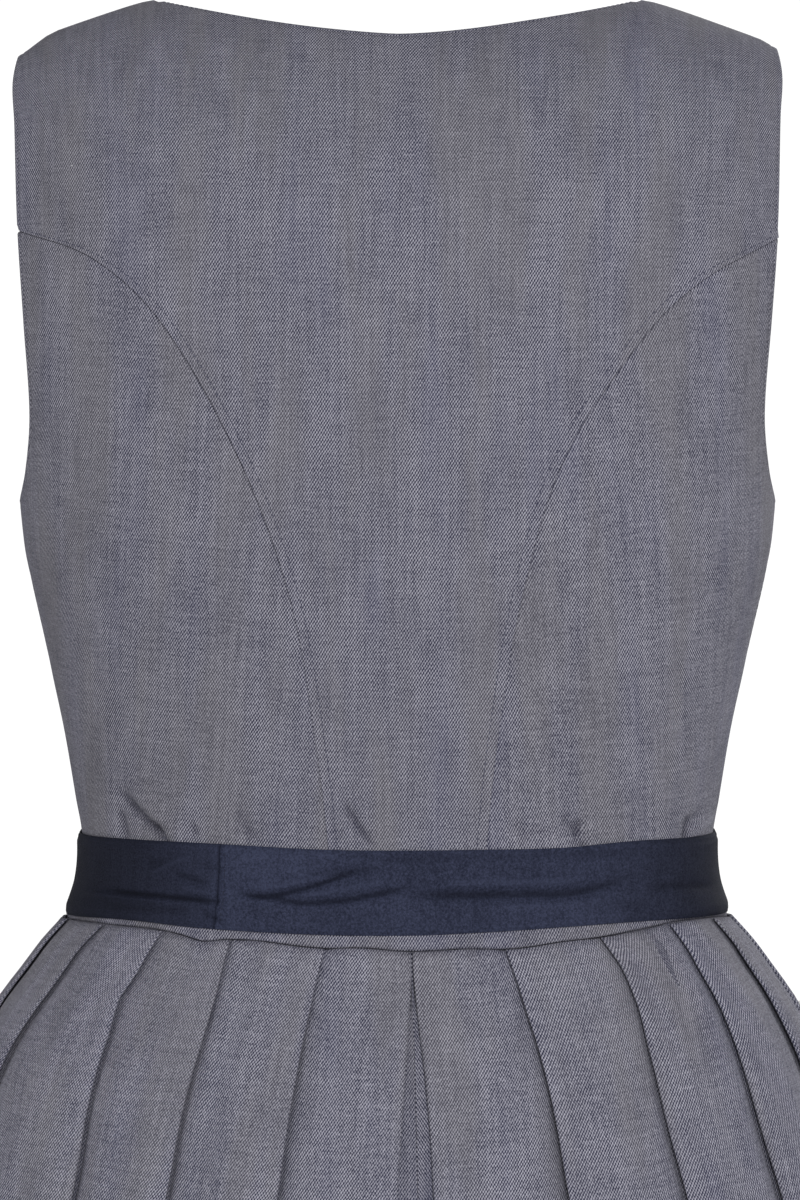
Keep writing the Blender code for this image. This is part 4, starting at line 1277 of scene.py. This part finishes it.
# %% The belt in numbers
# The wrinkles run along the belt. Rows: width, depth, and a line of (x, height)
BELT_WRINKLES = (
    (1.3, -1.7, ((132.3, -387.7), (119.5, -387.1), (106.6, -387.4), (92.2, -387.7),
     (76.2, -388.5), (67.1, -389.1))),
    (1.7, 1, ((136, -390), (124, -389.2), (109.2, -389.3), (93, -389.6))),
    (3.2, -0.9, ((135.9, -393.6), (119.4, -392.9), (97.4, -392.7), (79.1, -393.2))),
    (1.8, -1, ((84.3, -393.8), (78.3, -395.3), (71.8, -398.9))),
    (1.6, -0.9, ((108.4, -373.1), (103.6, -373.2), (98.3, -372))),
    (1.6, 1, ((107.5, -379.4), (100.9, -375.6), (94, -371.8), (84.4, -369.3))),
    (1.8, -1.1, ((97, -376.7), (91.3, -378.1), (85.3, -380), (79.2, -381))),
    (1.6, -0.8, ((85.3, -373.2), (80.1, -373.8), (74, -374.5))),
    (2.2, 0.7, ((94.8, -381.7), (86.1, -383.8), (77.5, -385.6))),
    (1.3, -1.7, ((74, -383), (60.3, -385.8), (49.1, -384.5), (37.2, -381.4), (14, -373.6))),
    (1.8, 0.8, ((67.1, -380.7), (57.7, -382.1), (45.7, -380.2), (32.9, -377.1))),
    (1.5, -1.5, ((64, -385.4), (49.1, -387), (41, -388.2), (27, -387.4), (18.5, -386.3),
     (-14, -379))),
    (2, 0.8, ((45.7, -384.9), (32.9, -383.9), (20.2, -381.6), (-1.1, -377.8))),
    (1.9, -0.9, ((46.6, -373), (38.1, -375.4), (25.3, -374.9), (-1.1, -372.7))),
    (2.6, -0.6, ((72.3, -390.9), (62.8, -391.9), (51.7, -392.5))),
    (3, -0.8, ((41.5, -368.3), (3.2, -368.9), (-35.2, -368.2), (-86.6, -368.1),
     (-131.1, -367.5))),
    (2.4, -1.5, ((8, -384.4), (-28.3, -384.7), (-52.2, -384.6), (-71.9, -385), (-84, -383.1),
     (-96, -380), (-112, -375))),
    (2.6, 0.8, ((-9.6, -379.9), (-35.1, -379.6), (-69.4, -379.4), (-82.3, -376.9),
     (-91.8, -373.9))),
    (2.6, 0.6, ((-26.6, -389.3), (-60.8, -389.8), (-86.6, -387.6), (-104.1, -383.9))),
    (2.2, -1, ((-104.1, -384.3), (-112.9, -384.1), (-121.8, -384.4), (-138.6, -387.3))),
    (1.9, -0.6, ((-45.8, -374.7), (-52.2, -374.4), (-62.9, -373.8))),
    (2.4, -0.7, ((-84.9, -389.3), (-95.3, -390.5), (-110.6, -392.3))),
)
FRONT_WRINKLES = (
    (1.8, -1.3, ((126, -384), (104, -381), (76, -381.5), (50, -380))),
    (1.9, -1.2, ((54, -387), (22, -389), (-8, -386), (-28, -385))),
    (2.2, -1.2, ((-26, -377), (-60, -379.5), (-90, -379), (-116, -383))),
    (2.4, 0.8, ((-56, -389.5), (-88, -391), (-124, -388.5))),
    (2.2, 0.8, ((24, -375), (60, -373), (96, -374.5))),
    (2.8, -0.7, ((-20, -369), (30, -368.6), (84, -368.8))),
)
# Angle, and height of the lower and the upper edge
BELT_EDGES = (
    (-180, -399.6, -365), (-130, -400, -364.6), (-89, -399.8, -364.2), (-70, -398.6, -363.8),
    (-55, -398.1, -363.5), (-40, -399, -365.2), (-20, -400.7, -365.4), (-3, -401.8, -365.6),
    (19, -401.6, -365.3), (45, -400, -363.6), (62, -398.3, -363.5), (82, -400.3, -364.5),
    (89, -401, -364.6), (130, -400, -364.6), (180, -399.6, -365),
)
BELT_WIDTH = 37.0
BELT_LOWEST = 0.7  # how near to the bodice a wrinkle may press the belt


# %% Wrinkles and edges of the belt
def wrinkled(points, table):
    """How far the wrinkles of a list move each point."""
    x, z = points[..., 0], points[..., 2]
    lift = np.zeros_like(x)
    for width, depth, line in table:
        share = (x - line[-1][0]) / (line[0][0] - line[-1][0])
        fade = ease(share / 0.3 + 0.08) * ease((1 - share) / 0.3 + 0.08)
        lift += depth * fade * bell(z - smooth(line, 1, x), width * 1.05)
    return lift


def belt_edges(angle):
    angle = (angle + 180) % 360 - 180
    return smooth(BELT_EDGES, 1, angle), smooth(BELT_EDGES, 2, angle)


def belt_grid(start, end):
    """Points round the waist between two angles, from the belt's lower edge to its upper one."""
    angles = np.linspace(start, end, round((end - start) * 1.4))
    low, high = belt_edges(angles)
    hem = np.array(NEAR[:8]) / BELT_WIDTH
    rows = np.concatenate((hem, np.linspace(0.12, 0.88, 52), 1 - hem[::-1]))
    z = mix(low[None, :], high[None, :], rows[:, None])
    turned = np.broadcast_to(angles[None, :], z.shape)
    return torso(turned, z), turned


# %% The two lengths of the belt
def belt_piece(name, node, start, end, on_top, offset):
    points, turned = belt_grid(start, end)
    out = outward(points)
    from_start, from_end, from_low, from_high = from_edges(points)
    joint = from_end if on_top else from_start
    hem = np.minimum(from_low, from_high)

    # The belt lies on the bodice, also where that laps, and its free end on the belt
    front = (turned % 360 > 90) & (turned % 360 < 270)
    wrinkles = np.where(front, wrinkled(points, FRONT_WRINKLES), wrinkled(points, BELT_WRINKLES))
    above = 2.3 + 1.25 * wrinkles - BELT_LOWEST
    lift = BELT_LOWEST + np.logaddexp(0.0, above * 3.0) / 3.0
    lift = lift + LAP_LIFT * ease((46 - np.abs(points[..., 0])) / 14) * front
    lift = lift + (2.0 * ease((163.0 - turned) / 12) if on_top else 0.0)

    # Folded long edges, a pressed line along the upper one, and the seam that joins the lengths
    pressed = 0.5
    if on_top:
        pressed = mix(0.3, 1.0, ease((turned - 400) / -10) * ease((turned - 325) / -8))
    lift = lift * mix(0.6, 1.0, ease(hem / 4.5)) - 0.5 * (1 - ease(hem / 1.3))
    lift -= 0.3 * bell(from_high - 2.6, 0.5) * pressed
    lift += seam_groove(joint, 0.5, 0.7) + 0.3 * bell(joint - 3.0, 2.0)
    lift += 0.07 * np.sin(from_start / 2.3) * np.exp(-hem / 4)

    centre_back = int(np.argmin(np.abs(turned[0] - (360 if on_top else 0))))
    flat = on_cloth(from_start - from_start[:, [centre_back]], from_low, offset)
    if not on_top:
        flat[..., 0] += 0.1
    # The joining seam is darker, and so is the belt along its upper edge; wrinkle troughs get
    # painted shade, ridges a painted highlight
    near = np.minimum(joint * 0.3 + 0.5, 0.85 - 0.42 * np.maximum(-wrinkles - 0.1, 0.0))
    near = np.minimum(near, 0.6 + from_high * 0.08)
    near += 1.6 * np.maximum(wrinkles - 0.1, 0.0) * (near > 0.8)
    outer = points + out * lift[..., None]
    inner = points + out * (lift - 1.1 * mix(0.35, 1.0, ease(hem / 1.5)))[..., None]
    piece = shell(name, outer, inner, flat, near, (navy_finish,))
    declare(piece, node, points)
    return outer, out


# The joining seam is at 42.6 degrees, which is 402.6 once round. The ends lap in front.
belt_piece("belt_short_cloth", "belt_short", 42.6, 147.0, False, 3.1)
belt_face, belt_out = belt_piece("belt_cloth", "belt_long", 132.0, 402.6, True, 3.4)

# %% [markdown]
# ## Stitches
#
# A row of topstitching is a line of short threads that dive into the cloth at both ends. All
# the threads of one colour are one mesh, made from the grids' own columns, so the rows follow
# every curve of the seams.


# %% Topstitching
# A stitch's rings. Rows: place along it, thickness, height
STITCH_RINGS = ((-0.5, 0.2, -0.3), (-0.34, 0.9, 0.05), (0.34, 0.9, 0.05), (0.5, 0.2, -0.3))
SIDES = 6


def tube(count, steps, start=0):
    """Faces of a tube of rings that are numbered one after another."""
    k = np.arange(steps)
    after = (k + 1) % steps
    rings = start + np.arange(count - 1)[:, None] * steps
    faces = np.stack((rings + k, rings + k + steps, rings + after + steps, rings + after), -1)
    return [tuple(face) for face in faces.reshape(-1, 4).tolist()]


def thread_rows(name, rows, finish, pitch=2.7, share=0.72, radius=0.2):
    """Stitches along rows of (points, directions out)."""
    ring = np.linspace(0, 2 * math.pi, SIDES, endpoint=False)
    verts, cloth = [], []
    for points, out in rows:
        run = lengths(points)
        count = int(run[-1] / pitch)
        at = (np.arange(count) + 0.5) * run[-1] / count

        def along(values, where):
            return np.stack([np.interp(where, run, values[:, c]) for c in range(3)], -1)

        spot, normal = along(points, at), unit(along(out, at))
        way = unit(along(points, at + 0.6) - along(points, at - 0.6))
        side = np.cross(way, normal)
        stitch, place = [], []
        for move, width, rise in STITCH_RINGS:
            centre = spot + way * move * pitch * share + normal * rise * radius * 2
            for turn in ring:
                round_it = side * math.cos(turn) + normal * math.sin(turn)
                stitch.append(centre + round_it * radius * width)
                place.append(np.column_stack((at + move * pitch, np.full(count, turn), at * 0)))
        verts.append(np.stack(stitch, 1).reshape(-1, 3))
        cloth.append(np.stack(place, 1).reshape(-1, 3))
    verts, cloth = np.concatenate(verts), np.concatenate(cloth) * MM
    size = SIDES * len(STITCH_RINGS)
    faces = []
    for first in range(0, len(verts), size):
        ends = range(first + SIDES - 1, first - 1, -1), range(first + size - SIDES, first + size)
        faces += [face[::-1] for face in tube(len(STITCH_RINGS), SIDES, first)]
        faces += [tuple(end) for end in ends]
    piece = put(name, smooth_mesh(name, verts, faces, cloth, (finish,)))
    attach(piece, "root")
    print(f"{name}: {len(verts) // size} stitches")
    return piece


def rows_of(face, out, *spots):
    """Lines of points on a piece's face, each with its directions out."""
    return [(face[spot], out[spot]) for spot in spots]


UNDER_BELT, LAP_FOOT = 14, 26  # first rows that the belt doesn't hide
seam = slice(UNDER_BELT, ROWS + 1)
rows = rows_of(back_face, back_out, (seam, STITCH_COLUMN), (seam, -1 - STITCH_COLUMN))
for face, out in front_faces.values():
    rows += rows_of(face, out, (slice(UNDER_BELT, ROWS), -1 - STITCH_COLUMN))
rows += rows_of(back_face, back_out, (NECK_ROW, slice(STRAP_COLUMNS, -STRAP_COLUMNS)))
rows += rows_of(*front_faces["front_centre_right"], (slice(LAP_FOOT, CORNER), STITCH_COLUMN))
thread_rows("seam_stitches", rows, seam_thread)
rows = rows_of(belt_face, belt_out, (slice(6, -6), -3))
thread_rows("belt_stitches", rows, belt_thread, 2.2, 0.7, 0.17)

# %% [markdown]
# ## Buttons
#
# Seven turned buttons close the front. Each is a dished disc with a raised rim and four holes,
# sewn on with two bars of thread. One is made and the others share its mesh.

# %% Buttons
BUTTON_RADIUS, BUTTON_THICK = 7.5, 3.2


def button_mesh():
    dish = [(radius, 0.6) for radius in np.linspace(0.02, 0.48, 13)]
    profile = dish + [(0.54, 0.63), (0.62, 0.74), (0.7, 0.92), (0.8, 1.0), (0.9, 0.98),
                      (0.97, 0.82), (1.0, 0.55), (0.97, 0.25), (0.9, 0.05), (0.0, 0.0)]
    steps, hole_at, bar_rings, bar_radius = 48, 0.2, 7, 0.26
    turn = np.linspace(0, 2 * math.pi, steps, endpoint=False)
    radius, height = (np.array(column)[:, None] for column in zip(*profile))
    x, y = radius * np.cos(turn), radius * np.sin(turn)
    away = (np.abs(x) - hole_at) ** 2 + (np.abs(y) - hole_at) ** 2
    z = height * BUTTON_THICK - 1.1 * bell(away, 0.075**2) * (height > 0.5)
    verts = np.stack((x * BUTTON_RADIUS, y * BUTTON_RADIUS, z), -1).reshape(-1, 3)
    faces = [tuple(range(steps))] + tube(len(profile), steps)
    disc = len(faces)
    share = np.linspace(-1, 1, bar_rings)[:, None]
    round_it = np.linspace(0, 2 * math.pi, SIDES, endpoint=False)[None, :]
    for side in (-1, 1):
        for strand in (-0.24, 0.24):
            faces += tube(bar_rings, SIDES, len(verts))
            bar = np.broadcast_arrays(
                share * hole_at * BUTTON_RADIUS,
                side * hole_at * BUTTON_RADIUS + strand + bar_radius * np.cos(round_it),
                1.4 + 0.9 * (1 - share**4) + bar_radius * np.sin(round_it),
            )
            verts = np.concatenate((verts, np.stack(bar, -1).reshape(-1, 3)))
    mesh = smooth_mesh("button_turned", verts, faces, verts * MM, (horn_finish, belt_thread))
    mesh.polygons.foreach_set("material_index", [int(n >= disc) for n in range(len(faces))])
    return mesh


button = button_mesh()
for number in range(7):
    z = mix(-182.0, -350.0, number / 6)
    seat = torso(np.array([[180.0, 180.5], [180.0, 180.5]]), np.array([[z, z], [z + 1, z + 1]]))
    facing = outward(seat)[0, 0]
    piece = put(f"button_turned_{number + 1}", button)
    piece.location = Vector((seat[0, 0] + facing * (LAP_LIFT + 0.6)) * MM)
    piece.rotation_mode = "QUATERNION"
    piece.rotation_quaternion = Vector(facing).to_track_quat("Z", "Y")
    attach(piece, "root")
    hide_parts(f"button_{number + 1}")
print(number + 1, "buttons of", len(button.polygons), "faces")

# %% [markdown]
# ## Floor
#
# A plain pale floor under the hem. The picture ends above it, so it only shows from elsewhere.

# %% Floor
FLOOR, REACH = -1.40, 9
corners = [(x * REACH, y * REACH, FLOOR) for x, y in ((-1, -1), (1, -1), (1, 1), (-1, 1))]
floor_mesh = bpy.data.meshes.new("floor")
floor_mesh.from_pydata(corners, [], [(0, 1, 2, 3)])
paper = Finish("floor_paper", 0.9, Emission_Color=(1.0, 1.0, 1.0, 1.0), Emission_Strength=0.46)
grain = paper.noise(paper.node("ShaderNodeTexCoord", out="Object"), 6.0, 3.0)
paper.set("Base Color", paper.blend(grain * 0.3, colour(146, 146, 146), colour(154, 154, 153)))
floor_mesh.materials.append(paper.material)
floor = put("floor", floor_mesh)
print("floor at", FLOOR, "m")
